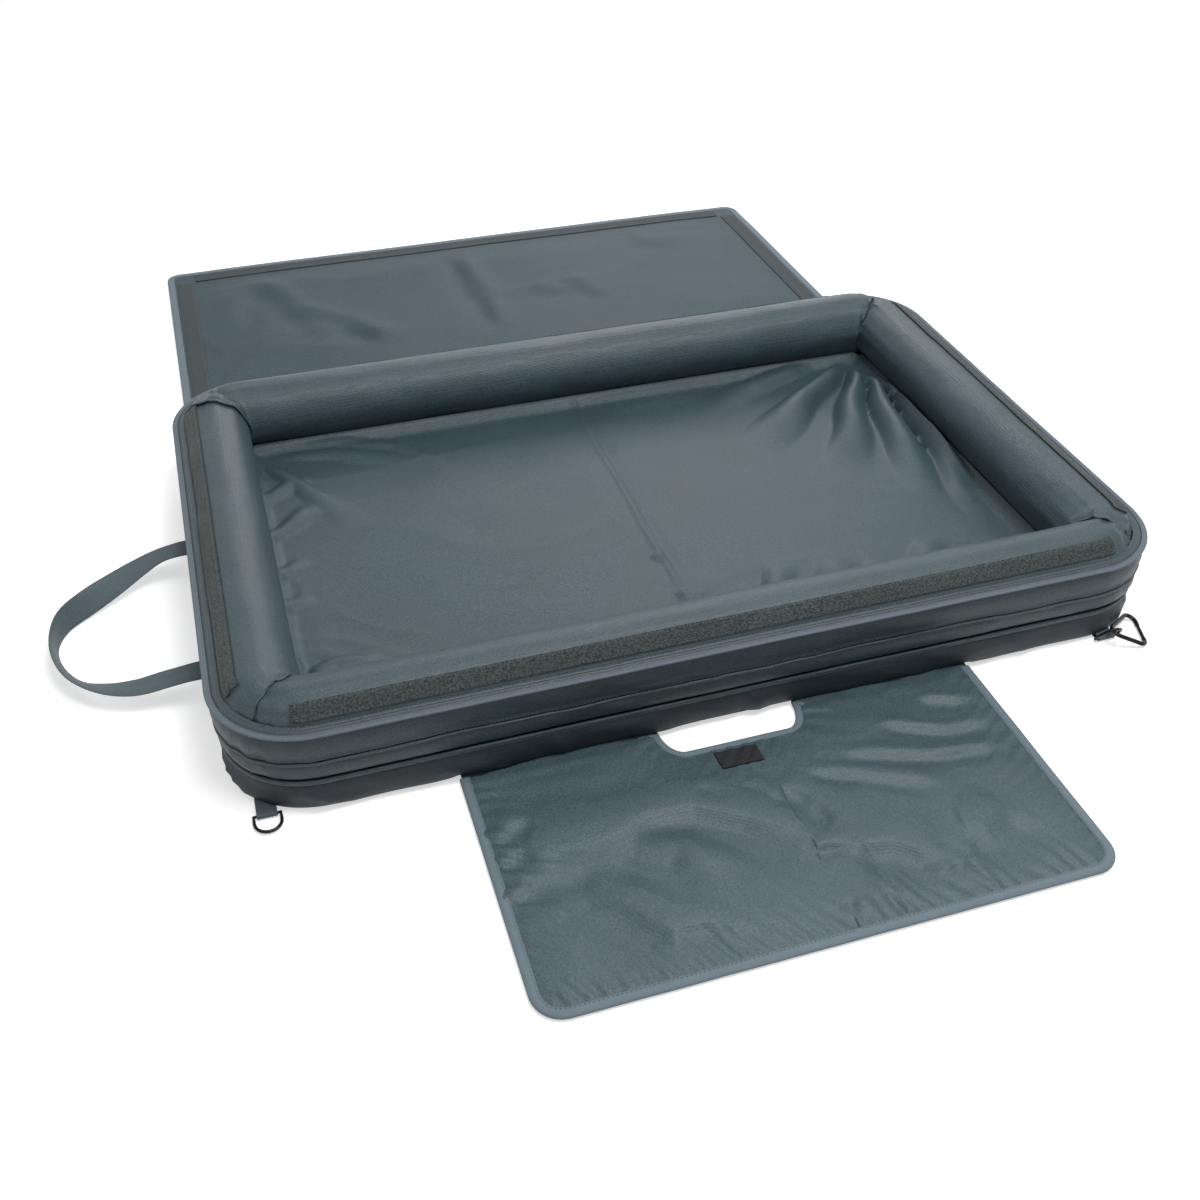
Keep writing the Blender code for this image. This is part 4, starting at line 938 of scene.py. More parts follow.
liner = {
    "inset": 0.0838, "height": 0.0379, "spacing": 0.0034, "rowCount": 156, "thickness": 0.0008,
    "edgeRise": 0.0150, "riseReach": 0.021, "crease": 0.0020, "creaseFrom": -0.19,
    "pucker": 0.0019, "puckerPitch": 0.026, "puckerReach": 0.020,
}
linerCrests = (                      # places along the line, first and last half-width, height
    (((0.423, 0.258), (0.310, 0.174), (0.185, 0.071)), 0.007, 0.030, 0.0210),
    (((0.422, 0.252), (0.363, 0.126), (0.288, -0.016)), 0.007, 0.025, 0.0250),
    (((0.428, 0.240), (0.385, 0.030), (0.358, -0.109)), 0.006, 0.022, 0.0230),
    (((0.440, 0.229), (0.424, -0.011), (0.411, -0.163)), 0.005, 0.017, 0.0200),
    (((0.368, 0.263), (0.241, 0.227), (0.160, 0.189)), 0.006, 0.022, 0.0110),
    (((-0.443, 0.140), (-0.398, 0.175), (-0.352, 0.184)), 0.006, 0.014, 0.0070),
    (((-0.445, 0.056), (-0.392, 0.109), (-0.348, 0.118)), 0.006, 0.014, 0.0070),
    (((-0.444, -0.022), (-0.392, 0.012)), 0.006, 0.012, 0.0060),
    (((-0.445, -0.084), (-0.397, -0.064)), 0.006, 0.012, 0.0055),
    (((-0.446, -0.143), (-0.431, -0.185), (-0.425, -0.212)), 0.006, 0.010, 0.0065),
    (((-0.431, -0.204), (-0.390, -0.184), (-0.330, -0.188)), 0.008, 0.014, 0.0080),
    (((-0.435, 0.254), (-0.379, 0.159), (-0.327, 0.055)), 0.006, 0.018, 0.0060),
    (((-0.423, 0.260), (-0.327, 0.230), (-0.182, 0.150)), 0.006, 0.016, 0.0045),
    (((-0.390, 0.265), (-0.254, 0.229), (-0.170, 0.107)), 0.006, 0.014, 0.0035),
    (((0.060, -0.225), (0.085, -0.176)), 0.010, 0.014, 0.0050),
    (((0.101, -0.230), (0.134, -0.150)), 0.010, 0.018, 0.0080),
    (((0.160, -0.232), (0.205, -0.158)), 0.012, 0.019, 0.0075),
    (((0.222, -0.228), (0.250, -0.178)), 0.010, 0.014, 0.0055),
    (((0.276, -0.232), (0.332, -0.160)), 0.011, 0.018, 0.0080),
    (((-0.003, -0.093), (0.004, -0.112)), 0.005, 0.006, 0.0034),
    (((-0.013, -0.178), (0.039, -0.184)), 0.006, 0.008, 0.0040),
)


# Height of the liner over the slab
def linerLift(x, y):
    inside = min(halfLength - abs(x), halfWidth - abs(y)) - liner["inset"]
    wander = 0.010 * cloudy(x, y, 2.0, 0.09), 0.010 * cloudy(x, y, 11.0, 0.09)
    lift = foldRise(linerCrests, x + wander[0], y + wander[1], stepped=False)
    seam = math.exp(-max(0.0, inside) / liner["puckerReach"]) * smoothStep(inside, 0.0, 0.014)
    alongSeam = x if halfWidth - abs(y) < halfLength - abs(x) else y
    beat = 0.5 + 0.5 * math.sin(alongSeam * math.tau / liner["puckerPitch"] + 4.4 * cloudy(x, y, 2.0, 0.07))
    lift += liner["pucker"] * seam * beat * (0.55 + 0.45 * cloudy(alongSeam, 1.0, 3.0, 0.12))
    leftFront = bell(Vector((x + 0.40, y + 0.23)).length, 0.10)
    lift += 0.0030 * leftFront * ridged(x * 0.6 + y * 0.9, y * 0.2 - x * 0.3, 8.0, 0.045, 2.0)
    middleFold = smoothStep(y, liner["creaseFrom"] - 0.06, liner["creaseFrom"] + 0.06)
    lift += liner["crease"] * middleFold * bell(x - mat["foldLine"] - 0.003 * cloudy(y, 0, 0, 0.1), 0.0034)
    lift -= 0.0008 * middleFold * bell(x - mat["foldLine"] - 0.009, 0.006)
    lift += 0.0016 * (1 + cloudy(x, y, 1.0, 0.22)) + 0.0008 * (1 + cloudy(x, y, 6.0, 0.075))
    lift += 0.0012 * ridged(x * 0.5 - y * 0.4, y + x * 0.2, 7.0, 0.17, 5.0)
    rise = liner["edgeRise"] * clamp(1 - inside / liner["riseReach"]) ** 2.0
    return lift * smoothStep(inside, 0.001, 0.010) + rise


def buildLiner():
    reachX = halfLength - liner["inset"]
    count = round(2 * reachX / liner["spacing"])
    rows = []
    for column in range(count + 1):
        x = -reachX + 2 * reachX * column / count
        past = max(0.0, abs(x) - (halfLength - mat["corner"]))
        radius = mat["corner"] - liner["inset"]
        side = halfWidth - mat["corner"] + math.sqrt(max(0.0, radius ** 2 - past ** 2))
        ys = [side * (2 * step / liner["rowCount"] - 1) for step in range(liner["rowCount"] + 1)]
        rows.append([Vector((x, y, liner["height"] + linerLift(x, y))) for y in ys])
    piece = finishPiece("floorLiner", growSurface(rows), looks["lining"], 75)
    giveCloth(piece, liner["thickness"])
    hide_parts("floor_liner_left", "floor_liner_right")
    bendAtFold(piece)


# Cover flap thrown open behind the mat

flap = {
    "hinge": 0.3522, "nearY": 0.3533, "farY": 0.940, "half": 0.515, "dropHalf": 0.425, "taper": 0.075,
    "corner": 0.022, "height": 0.0027, "thickness": 0.0013, "topZ": 0.1035, "footZ": 0.006,
    "tapeWidth": 0.011, "tapeHalf": 0.0010, "underTape": 0.0015,
}
flapPieces = {"left": [], "right": []}


# Half the flap's length at this distance behind the wall
def flapHalfAt(y):
    half = flap["dropHalf"] + (flap["half"] - flap["dropHalf"]) * clamp((y - flap["nearY"]) / flap["taper"])
    into = y - (flap["farY"] - flap["corner"])
    if into > 0:
        half -= flap["corner"] - math.sqrt(max(0.0, flap["corner"] ** 2 - into ** 2))
    return half


flapFolds = (                      # places along the line, first and last half-width, height
    (((-0.039, 0.882), (-0.028, 0.736), (-0.025, 0.546)), 0.017, 0.017, 0.0037),
    (((0.270, 0.891), (0.294, 0.816), (0.367, 0.775)), 0.020, 0.020, 0.0025),
    (((-0.378, 0.879), (-0.332, 0.733), (-0.290, 0.599)), 0.017, 0.020, 0.0032),
    (((-0.331, 0.740), (-0.231, 0.632), (-0.185, 0.552)), 0.017, 0.020, 0.0030),
    (((-0.406, 0.845), (-0.426, 0.700), (-0.453, 0.607)), 0.024, 0.024, 0.0036),
    (((-0.483, 0.688), (-0.462, 0.624)), 0.010, 0.010, 0.0025),
    (((0.118, 0.725), (0.164, 0.611)), 0.017, 0.017, 0.0023),
    (((0.050, 0.695), (0.127, 0.655)), 0.017, 0.017, 0.0021),
    (((-0.268, 0.651), (-0.199, 0.585)), 0.017, 0.017, 0.0021),
    (((0.348, 0.857), (0.473, 0.859)), 0.017, 0.017, 0.0018),
)


def flapLift(x, y):
    lift = 0.0034 * (1 + cloudy(x, y, 2.5, 0.21)) * smoothStep(y, 0.37, 0.45)
    lift += 0.0046 + 0.0012 * (1 + cloudy(x, y, 7.5, 0.070))
    lift += 0.0022 * ridged(x * 0.5 + y * 0.3, y - x * 0.2, 5.5, 0.16, 4.0)
    wander = 0.008 * cloudy(x, y, 3.0, 0.08), 0.008 * cloudy(x, y, 13.0, 0.08)
    lift += foldRise(flapFolds, x + wander[0], y + wander[1])
    # It lies flatter where it closes on the bolsters, and its near left corner stands up
    lift *= 0.12 + 0.88 * smoothStep(flap["farY"] - y, 0.02, 0.13)
    lift *= 0.15 + 0.85 * smoothStep(flap["half"] - abs(x), 0.03, 0.13)
    return lift + 0.008 * bell(Vector((x + 0.47, y - 0.425)).length, 0.055)


def flapTapeHeight(x, y):
    return flap["height"] + flapLift(x, y) - flap["thickness"] / 2


def buildFlapCloth(side, sign):
    fold, farY = mat["foldLine"], flap["farY"] - flap["underTape"]
    dropZs = [flap["topZ"] - (flap["topZ"] - flap["footZ"]) * step / 22 for step in range(23)]
    ys = [flap["nearY"] + (farY - flap["nearY"]) * step / 120 for step in range(1, 121)]
    rows = []
    for column in range(91):
        share = column / 90
        row = []
        for z in dropZs:
            x = fold + (sign * flap["dropHalf"] - fold) * share
            sway = 0.0007 * cloudy(x, z, 4.0, 0.07) + 0.0005 * ridged(x, z * 0.4, 2.0, 0.05, 2.0)
            row.append(Vector((x, flap["hinge"] + sway + 0.0012 * smoothStep(0.03 - z, 0.0, 0.03), z)))
        for y in ys:
            edge = sign * (flapHalfAt(y) - flap["underTape"])
            x = fold + (edge - fold) * share
            row.append(Vector((x, y, flap["height"] + flapLift(x, y))))
        rows.append(row)
    piece = finishPiece("flapCloth_" + side, growSurface(rows), looks["flap"], 75)
    giveCloth(piece, flap["thickness"])
    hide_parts("cover_drop_" + side, "cover_panel_" + side)
    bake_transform(piece)
    flapPieces[side].append(piece)


def buildFlapBinding(side, sign):
    startY, endY = flap["nearY"] + 0.003, flap["farY"] - flap["corner"]
    outline = []
    for step in range(111):
        y = startY + (endY - startY) * step / 110
        outline.append(Vector((sign * flapHalfAt(y), y)))
    outline += cornerToFold(sign * flap["half"], flap["farY"], flap["corner"], sign, 1, 12, 90)
    binding, line = tapeAlong("flapBinding_" + side, outline, flapTapeHeight, flap["tapeWidth"],
                              flap["tapeHalf"], -sign, looks["tape"])
    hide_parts("cover_binding_" + side)
    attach(binding, "cover_panel_" + side)
    flapPieces[side].append(binding)
    flapPieces[side].append(stitchPiece("flapStitches_" + side, [line], body="cover_panel_" + side))


# Tape folded over cloth edges

tapeSection = (                     # share of the width, added inset, share of half the thickness
    (1.0, 0.0, -0.9), (0.5, 0.0, -1.0), (0.0, 0.0012, -0.95), (0.0, 0.0002, -0.5), (0.0, -0.0002, 0.0),
    (0.0, 0.0002, 0.5), (0.0, 0.0012, 0.95), (0.5, 0.0, 1.05), (0.93, 0.0, 1.0), (1.0, 0.0, 0.6),
)


# An outline's round corner, and its straight run along the far edge to the fold line
def cornerToFold(sideX, farY, radius, sign, way, cornerSteps, steps):
    centre = Vector((sideX - sign * radius, farY - way * radius))
    places = []
    for step in range(1, cornerSteps + 1):
        angle = math.pi / 2 * step / cornerSteps
        places.append(centre + radius * Vector((sign * math.cos(angle), way * math.sin(angle))))
    for step in range(1, steps + 1):
        places.append(Vector((centre.x + (mat["foldLine"] - centre.x) * step / steps, farY)))
    return places


# An oval section swept along the outline, and the line where the tape is stitched
def tapeAlong(name, outline, heightAt, width, half, inwardSign, material):
    inwards = []
    for index in range(len(outline)):
        before, after = outline[max(0, index - 1)], outline[min(len(outline) - 1, index + 1)]
        way = (after - before).normalized()
        inwards.append(Vector((way.y, -way.x)) * inwardSign)
    rows = []
    for share, added, up in tapeSection:
        inset = width * share + added
        row = []
        for spot, inward in zip(outline, inwards):
            height = heightAt(*(spot + inward * min(width, max(inset, 0.004))))
            row.append(Vector((*(spot + inward * inset), height + half * up)))
        rows.append(row)
    piece = closedTube(name, rows, material)
    places = []
    for spot, inward in zip(outline, inwards):
        stitched = spot + inward * width * 0.82
        places.append(Vector((*stitched, heightAt(*stitched) + half * 1.05)))
    return piece, onLevel(places)


# Hook strips on the flap, at the far edge and at both ends

hookStrip = {"width": 0.025, "inset": 0.015, "endInset": 0.045, "thickness": 0.0012, "clear": 0.0002}
stripSection = (                    # share of the width, share of the thickness
    (-0.5, 0.0), (-0.5, 0.8), (-0.48, 1.0), (-0.25, 1.0), (0.0, 1.0), (0.25, 1.0), (0.48, 1.0), (0.5, 0.8),
    (0.5, 0.0),
)


def onFlap(x, y, lift=0.0):
    return Vector((x, y, flap["height"] + flapLift(x, y) + hookStrip["clear"] + lift))


# A strip laid on the flap: along is its middle line, and its edges are slightly rounded
def flatStrip(name, along, sideways):
    rows = []
    for share, up in stripSection:
        aside = sideways * share * hookStrip["width"]
        rows.append([onFlap(*(spot + aside), up * hookStrip["thickness"]) for spot in along])
    return closedTube(name, rows, looks["hook"], 50)


def buildHookStrips(side, sign):
    half, inset = hookStrip["width"] / 2, hookStrip["inset"]
    farY = flap["farY"] - inset - half
    endX = sign * (flap["half"] - hookStrip["endInset"])
    far = [Vector((mat["foldLine"] + (endX - mat["foldLine"]) * step / 90, farY)) for step in range(91)]
    sideX = sign * (flap["half"] - inset - half)
    startY, stopY = flap["nearY"] + flap["taper"] + inset, flap["farY"] - hookStrip["endInset"]
    end = [Vector((sideX, startY + (stopY - startY) * step / 80)) for step in range(81)]
    for name, line, sideways, node in (
        ("hookStripFar_" + side, far, Vector((0, 1)), "hook_strip_far_" + side),
        ("hookStripSide_" + side, end, Vector((1, 0)), "hook_strip_side_" + side),
    ):
        piece = flatStrip(name, line, sideways)
        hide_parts(node)
        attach(piece, "cover_panel_" + side)
        rows = []
        for share in (-0.44, 0.44):
            aside = sideways * share * hookStrip["width"]
            rows.append(onLevel([onFlap(*(spot + aside), hookStrip["thickness"]) for spot in line]))
        stitches = stitchPiece(name.replace("Strip", "Stitches"), rows, body="cover_panel_" + side)
        flapPieces[side] += [piece, stitches]


# Kneeling mat: a thin crowned pad with a hand hole, bound with tape

kneeling = {
    "half": 0.288, "shift": -0.0105, "nearY": -0.3457, "farY": -0.6450, "corner": 0.030,
    "under": 0.0022, "edge": 0.0048, "crown": 0.0097, "press": 0.0121, "underTape": 0.0025,
    "holeHalf": 0.076, "holeRamp": 0.020, "holeDepth": 0.0353, "holeTape": 0.008, "holeTapeHalf": 0.0017,
    "tapeWidth": 0.0105, "tapeHalf": 0.0021, "tapeLine": 0.0036,
    "seamInset": 0.0095, "crownReach": 0.046, "pucker": 0.0031, "puckerPitch": 0.018, "puckerReach": 0.016,
}
kneelFolds = (                      # places along the line, first and last half-width, height
    (((-0.300, -0.452), (-0.215, -0.466), (-0.136, -0.458), (-0.090, -0.462), (-0.046, -0.490),
      (-0.017, -0.523), (0.010, -0.556), (0.030, -0.572)), 0.017, 0.024, 0.0068),
    (((-0.288, -0.483), (-0.218, -0.502), (-0.164, -0.494), (-0.127, -0.511), (-0.091, -0.563)),
     0.017, 0.022, 0.0062),
    (((-0.234, -0.515), (-0.194, -0.556), (-0.164, -0.590), (-0.152, -0.623)), 0.019, 0.020, 0.0054),
    (((-0.153, -0.582), (-0.118, -0.598), (-0.095, -0.624)), 0.011, 0.014, 0.0034),
    (((0.024, -0.566), (0.050, -0.553), (0.076, -0.560), (0.096, -0.578), (0.120, -0.590)),
     0.018, 0.018, 0.0060),
    (((0.000, -0.452), (0.022, -0.478), (0.034, -0.508), (0.040, -0.535)), 0.014, 0.015, 0.0046),
    (((0.022, -0.444), (0.087, -0.470), (0.140, -0.496), (0.170, -0.512)), 0.0075, 0.009, 0.0026),
    (((0.070, -0.434), (0.161, -0.464), (0.225, -0.474), (0.268, -0.480)), 0.0070, 0.0085, 0.0026),
    (((0.130, -0.410), (0.203, -0.436), (0.270, -0.444)), 0.0065, 0.008, 0.0024),
    (((0.190, -0.386), (0.235, -0.402), (0.273, -0.405)), 0.0065, 0.008, 0.0022),
    (((0.142, -0.570), (0.172, -0.574), (0.214, -0.552)), 0.023, 0.020, 0.0054),
    (((-0.289, -0.447), (-0.245, -0.415)), 0.009, 0.014, 0.0051),
    (((-0.289, -0.471), (-0.257, -0.457)), 0.007, 0.011, 0.0041),
    (((-0.293, -0.518), (-0.254, -0.496)), 0.007, 0.011, 0.0041),
    (((-0.080, -0.432), (-0.062, -0.440), (-0.046, -0.456)), 0.006, 0.007, 0.0022),
    (((-0.030, -0.440), (-0.012, -0.462), (-0.004, -0.486)), 0.006, 0.007, 0.0022),
    (((0.000, -0.545), (0.042, -0.542)), 0.005, 0.008, 0.0025),
    (((0.008, -0.605), (0.010, -0.636)), 0.008, 0.008, 0.0030),
    (((0.053, -0.605), (0.056, -0.637)), 0.008, 0.008, 0.0030),
    (((0.126, -0.595), (0.135, -0.634)), 0.011, 0.014, 0.0039),
)


def kneelNear(x):
    past = (abs(x - kneeling["shift"]) - (kneeling["holeHalf"] - kneeling["holeRamp"])) / kneeling["holeRamp"]
    return kneeling["nearY"] - kneeling["holeDepth"] * math.sqrt(1 - clamp(past) ** 2)


def kneelFar(x):
    inset = kneeling["underTape"]
    radius = kneeling["corner"] - inset
    past = abs(x - kneeling["shift"]) - (kneeling["half"] - kneeling["corner"])
    return kneeling["farY"] + inset + radius - math.sqrt(max(0.0, radius ** 2 - max(0.0, past) ** 2))


# Distance to the nearest bound edge
def kneelInside(x, y):
    outer, far = kneeling["half"] - abs(x - kneeling["shift"]), y - kneeling["farY"]
    bound = min(outer, far)
    if max(outer, far) < kneeling["corner"]:
        bound = kneeling["corner"] - Vector((kneeling["corner"] - outer, kneeling["corner"] - far)).length
    aside = max(0.0, abs(x - kneeling["shift"]) - kneeling["holeHalf"] + kneeling["holeRamp"])
    beyond = max(0.0, kneeling["nearY"] - kneeling["holeDepth"] - y + kneeling["holeRamp"])
    toHole = math.hypot(aside, beyond) - kneeling["holeRamp"] + 0.0015
    return min(bound, kneeling["nearY"] - y + 0.010, toHole)


# Top of the pad: thin under the tape, crowned inside, with puckers along the seams and soft folds
def kneelTop(x, y):
    inside = kneelInside(x, y) - kneeling["seamInset"]
    share = clamp(inside / kneeling["crownReach"])
    crown = (kneeling["crown"] - kneeling["edge"]) * math.sin(share * math.pi / 2) ** 0.8
    alongEdge = x if (y - kneeling["farY"]) < (kneeling["half"] - abs(x - kneeling["shift"])) else y
    reach = kneeling["puckerReach"] * (1 + 0.8 * cloudy(alongEdge, 2.0, 5.0, 0.05))
    seam = math.exp(-max(0.0, inside) / reach) * smoothStep(inside, -0.006, 0.004)
    turns = (alongEdge + 0.5 * inside) * math.tau / kneeling["puckerPitch"]
    gather = math.sin(turns + 5.0 * cloudy(x, y, 3.0, 0.06))
    pucker = kneeling["pucker"] * seam * math.copysign(abs(gather) ** 0.8, gather)
    wander = 0.004 * cloudy(x, y, 2.0, 0.07), 0.004 * cloudy(x, y, 12.0, 0.07)
    fold = foldRise(kneelFolds, x + wander[0], y + wander[1])
    small = ridged(x * 0.9 - y * 0.5, y * 0.8 + x * 0.2, 4.5, 0.065, 2.5) - 0.4
    fold += 0.0009 * small * smoothStep(inside, 0.0, 0.02)
    soft = (0.0028 * cloudy(x, y, 9.0, 0.105) + 0.0008 * cloudy(x, y, 14.0, 0.042)) * share
    rise = crown + (pucker + fold + soft) * (0.3 + 0.7 * share)
    top = kneeling["edge"] + max(-0.0012, rise)
    past = max(0.0, top - kneeling["press"])         # high crests stay low, to clear the rim when it folds
    return top - 0.7 * past


def kneelColumns(sign):
    start = mat["foldLine"]
    edge = kneeling["shift"] + sign * (kneeling["half"] - kneeling["underTape"])
    hole = kneeling["shift"] + sign * kneeling["holeHalf"]
    xs = []
    count = 130
    for step in range(count + 1):
        share = step / count
        share = 0.6 * share + 0.4 * math.sin(share * math.pi / 2)
        xs.append(start + (edge - start) * share)
    xs += [hole - sign * kneeling["holeRamp"] * (1 - math.sin(math.pi / 2 * step / 12)) for step in range(13)]
    return sorted(xs, key=lambda x: abs(x - start))


# The kneeling mat lies between its lower and upper parts; here its pieces only get their transforms baked
# into their meshes
def bendKneeling(piece):
    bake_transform(piece)


def buildKneelPad(side, sign):
    rows = []
    for x in kneelColumns(sign):
        past = abs(x - kneeling["shift"]) - kneeling["holeHalf"]
        near, far = kneelNear(x) + (0.0040 if past > 0 else -0.0020), kneelFar(x)
        ys = [near + (far - near) * step / 120 for step in range(121)]
        row = [Vector((x, y, kneelTop(x, y))) for y in ys]
        row += [Vector((x, y, kneeling["under"])) for y in reversed(ys)]
        rows.append(row)
    mesh = growSurface(rows, ringRows=True)
    capEnds(mesh)
    piece = finishPiece("kneelPad_" + side, mesh, looks["kneeling"], 80)
    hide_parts("kneel_lower_" + side, "kneel_upper_" + side)
    bendKneeling(piece)


def kneelTapeHeight(x, y):
    return kneeling["tapeLine"] + 0.0005 * cloudy(x, y, 4.0, 0.05)


def kneelHoleHeight(x, y):
    return kneeling["tapeLine"] + 0.0004 * cloudy(x, y, 4.0, 0.05)


def buildKneelBinding(side, sign):
    sideX = kneeling["shift"] + sign * kneeling["half"]
    startY, endY = kneeling["nearY"] - 0.004, kneeling["farY"] + kneeling["corner"]
    outline = [Vector((sideX, startY + (endY - startY) * step / 70)) for step in range(71)]
    outline += cornerToFold(sideX, kneeling["farY"], kneeling["corner"], sign, -1, 14, 70)
    binding, line = tapeAlong("kneelBinding_" + side, outline, kneelTapeHeight, kneeling["tapeWidth"],
                              kneeling["tapeHalf"], sign, looks["tape"])
    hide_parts("kneel_binding_" + side)
    bendKneeling(binding)
    bendKneeling(stitchPiece("kneelStitches_" + side, [line]))


# Tape round the hand hole: out under the skirt, round the hole's end and along its far edge
def buildHoleBinding(side, sign):
    middle, near = kneeling["shift"], kneeling["nearY"] + 0.0005
    ramp, flat = kneeling["holeRamp"], kneeling["holeHalf"] - kneeling["holeRamp"]
    hole = [Vector((middle + sign * (kneeling["holeHalf"] + 0.022 * (1 - step / 8)), near))
            for step in range(8)]
    for step in range(17):
        angle = math.pi / 2 * step / 16
        hole.append(Vector((middle + sign * (flat + ramp * math.cos(angle)),
                            near - kneeling["holeDepth"] * math.sin(angle))))
    last = hole[-1]
    hole += [Vector((last.x + (mat["foldLine"] - last.x) * step / 40, last.y)) for step in range(1, 41)]
    edge, line = tapeAlong("holeBinding_" + side, hole, kneelHoleHeight, kneeling["holeTape"],
                           kneeling["holeTapeHalf"], -sign, looks["tape"])
    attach(edge, "kneel_lower_" + side)
    stitchPiece("holeStitches_" + side, [line], body="kneel_lower_" + side)


# Bare patch sewn to the kneeling mat

patch = {
    "right": 0.0022, "near": -0.3945, "width": 0.045, "depth": 0.026, "thickness": 0.0008, "lift": 0.0011,
    "stitchInset": 0.0016,
}


def buildPatch():
    right, near, inset = patch["right"], patch["near"], patch["stitchInset"]
    left, far = right - patch["width"], near - patch["depth"]
    rows = []
    for column in range(25):
        x = right + (left - right) * column / 24
        ys = [near + (far - near) * step / 16 for step in range(17)]
        rows.append([Vector((x, y, kneelTop(x, y) + patch["lift"])) for y in ys])
    piece = finishPiece("labelPatch", growSurface(rows), looks["patch"], 80)
    giveCloth(piece, patch["thickness"])
    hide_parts("label_patch")
    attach(piece, "kneel_lower_left")

    left, right, near, far = left + inset, right - inset, near - inset, far + inset
    corners = ((right, near), (left, near), (left, far), (right, far), (right, near))
    places = []
    for (x0, y0), (x1, y1) in zip(corners, corners[1:]):
        for step in range(12):
            x, y = x0 + (x1 - x0) * step / 12, y0 + (y1 - y0) * step / 12
            places.append(Vector((x, y, kneelTop(x, y) + patch["lift"] + 0.0001)))
    stitchPiece("patchStitches", [onLevel(places)], body="kneel_lower_left", pitch=0.003, length=0.0019)


# Webbing handles

handle = {
    "root": 0.5214, "reach": 0.164, "spread": 0.240, "width": 0.030, "thickness": 0.0020, "seam": 0.0398,
    "clear": 0.0016,
}
handleStops = {                     # reach, place along the wall, height, how flat it lies
    "left": (
        (0.00, 0.34, 1.00, 1.00), (0.12, 0.35, 0.92, 1.00), (0.27, 0.36, 0.62, 1.00),
        (0.43, 0.33, 0.30, 0.90), (0.60, 0.26, 0.10, 0.70), (0.79, 0.16, 0.00, 0.40),
        (0.94, 0.05, 0.00, 0.15), (1.00, -0.09, 0.00, 0.05), (0.97, -0.25, 0.00, 0.20),
        (0.86, -0.40, 0.02, 0.45), (0.68, -0.50, 0.10, 0.75), (0.48, -0.56, 0.30, 0.95),
        (0.28, -0.58, 0.60, 1.00), (0.12, -0.60, 0.90, 1.00), (0.00, -0.61, 1.00, 1.00),
    ),
    "right": (                      # pushed in against the wall
        (0.00, 0.50, 1.00, 1.00), (0.13, 0.50, 0.80, 1.00), (0.27, 0.47, 0.42, 0.80),
        (0.38, 0.38, 0.14, 0.45), (0.42, 0.27, 0.02, 0.15), (0.36, 0.16, 0.00, 0.00),
        (0.26, 0.07, 0.00, 0.00), (0.22, -0.02, 0.00, 0.00), (0.26, -0.11, 0.00, 0.00),
        (0.37, -0.20, 0.00, 0.05), (0.43, -0.31, 0.04, 0.20), (0.39, -0.42, 0.18, 0.48),
        (0.28, -0.49, 0.45, 0.80), (0.13, -0.51, 0.80, 1.00), (0.00, -0.50, 1.00, 1.00),
    ),
}
webbingSection = (                  # share of half the width, share of half the thickness
    (-1.0, 0.0), (-0.97, 0.7), (-0.9, 1.0), (-0.45, 1.0), (0.0, 1.0), (0.45, 1.0), (0.9, 1.0), (0.97, 0.7),
    (1.0, 0.0), (0.97, -0.7), (0.9, -1.0), (0.45, -1.0), (0.0, -1.0), (-0.45, -1.0), (-0.9, -1.0),
    (-0.97, -0.7),
)


# Catmull-Rom through a list of vectors
def splineThrough(values, samples):
    result = []
    last = len(values) - 1
    for sample in range(samples + 1):
        place = sample / samples * last
        index = min(int(place), last - 1)
        t = place - index
        p0, p1 = values[max(0, index - 1)], values[index]
        p2, p3 = values[index + 1], values[min(last, index + 2)]
        square = 2 * p0 - 5 * p1 + 4 * p2 - p3
        cube = 3 * p1 - p0 - 3 * p2 + p3
        result.append(0.5 * (2 * p1 + (p2 - p0) * t + square * t * t + cube * t ** 3))
    return result


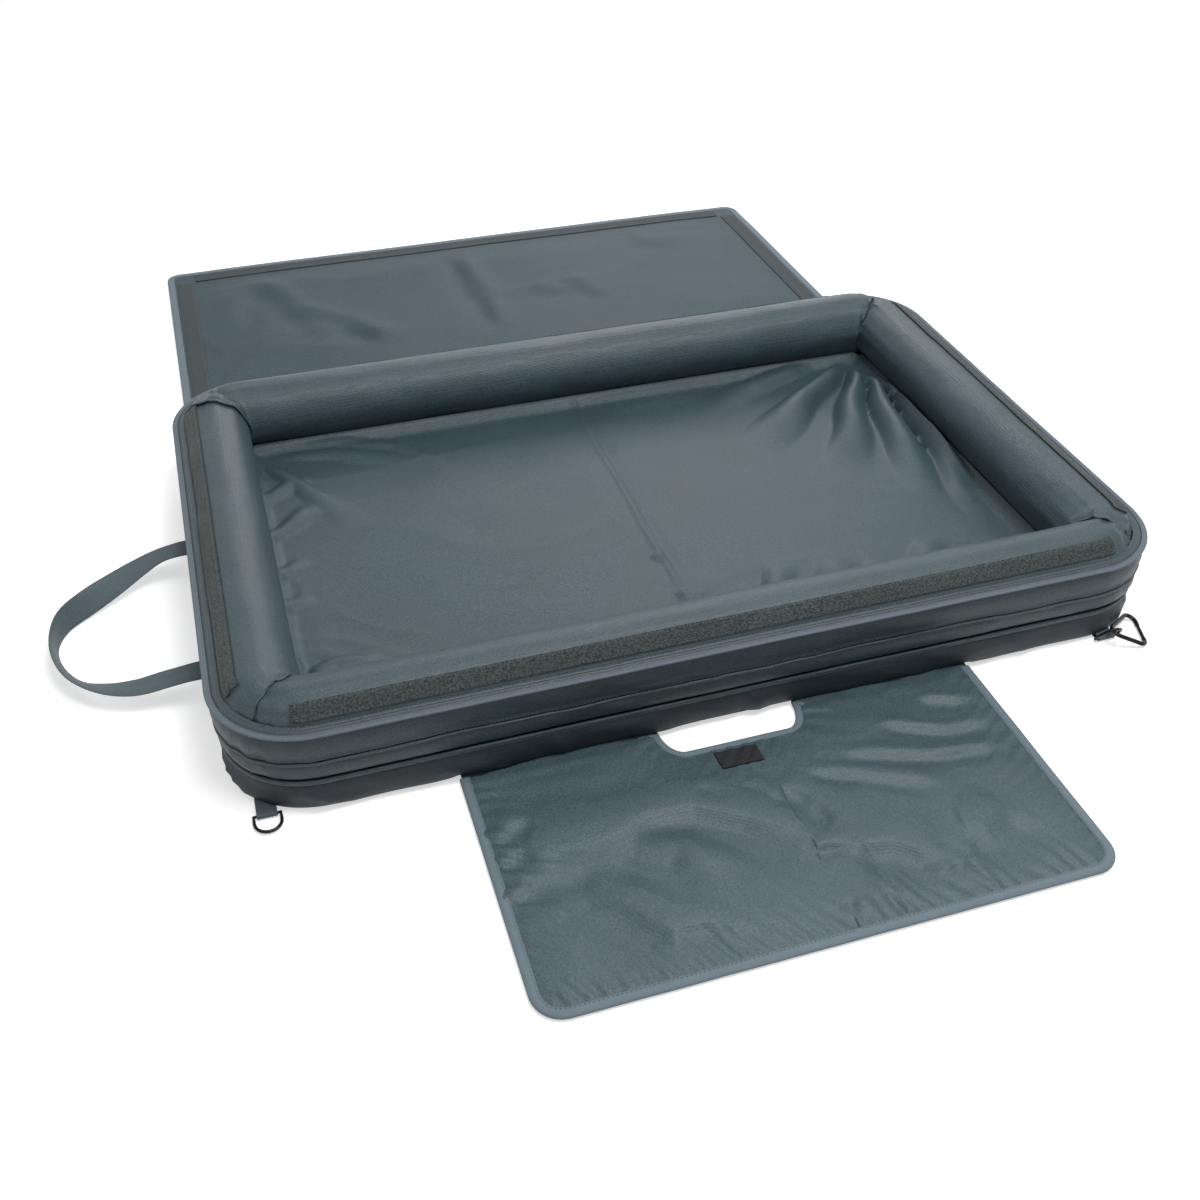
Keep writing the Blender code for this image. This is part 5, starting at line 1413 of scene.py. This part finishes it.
def buildHandle(side, sign):
    low = handle["width"] / 2 + handle["clear"]
    fine = splineThrough([Vector(stop) for stop in handleStops[side]], 150)
    centres = []
    for stop in fine:
        x = sign * (handle["root"] + stop[0] * handle["reach"])
        height = low + clamp(stop[2], 0, 1.1) * (handle["seam"] - low)
        centres.append(Vector((x, stop[1] * handle["spread"], height)))
    faces = []
    for index, centre in enumerate(centres):
        along = (centres[min(len(centres) - 1, index + 1)] - centres[max(0, index - 1)]).normalized()
        if index in (0, len(centres) - 1):           # both ends leave the wall squarely
            along = Vector((sign if index == 0 else -sign, 0, 0))
        level = Vector((0, 0, 1)).cross(along).normalized()
        upright = along.cross(level).normalized()
        flat = clamp(fine[index][3]) * math.pi / 2
        faces.append((centre, upright * math.cos(flat) + level * sign * math.sin(flat), along))
    half, thick = handle["width"] / 2, handle["thickness"] / 2
    rows = []
    for share, depth in webbingSection:
        rows.append([centre + across * share * half + across.cross(along).normalized() * depth * thick
                     for centre, across, along in faces])
    piece = closedTube("handle_" + side + "Webbing", rows, looks["webbing"], 50)
    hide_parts("handle_" + side)
    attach(piece, "handle_" + side)


# Rings, carabiner and tabs keep their CAD shape

def recolour(node, look):
    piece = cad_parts[node]
    piece.data.materials.clear()
    piece.data.materials.append(looks[look])


def finishHardware():
    for side in ("left", "right"):
        for where in ("front", "rear"):
            recolour("ring_" + where + "_" + side, "metal")
            recolour("ring_tab_" + where + "_" + side, "webbing")
    for part in ("body", "gate", "pin"):
        recolour("carabiner_" + part, "metal")


buildSkirt()
buildBasePanel()
buildPiping()
buildWall()
buildRim()
print("base, wall and rim done")
for place in ("front", "rear"):
    parts = ["bolster_" + part + "_" + place + "_" for part in ("sleeve", "foam")]
    buildBolster(place, [part + side for part in parts for side, sign in halves])
for side, sign in halves:
    buildBolster(side, ("bolster_sleeve_end_" + side, "bolster_foam_end_" + side), side + "_half")
buildMitreWelts()
buildSleeveLap()
buildLoopStrip("front", ("loop_strip_front_left", "loop_strip_front_right"))
buildLoopStrip("left", ("loop_strip_end_left",), "left_half")
buildLoopStrip("right", ("loop_strip_end_right",), "right_half", turned=9.0)
print("bolsters and loop strips done")
buildLiner()
print("liner done")
for side, sign in halves:
    buildFlapCloth(side, sign)
    buildFlapBinding(side, sign)
for side, sign in halves:
    buildHookStrips(side, sign)
print("flap done")
for side, sign in halves:
    buildKneelPad(side, sign)
    buildKneelBinding(side, sign)
    buildHoleBinding(side, sign)
buildPatch()
print("kneeling mat done")
for side, sign in halves:
    buildHandle(side, sign)
finishHardware()
print("handles and hardware done")
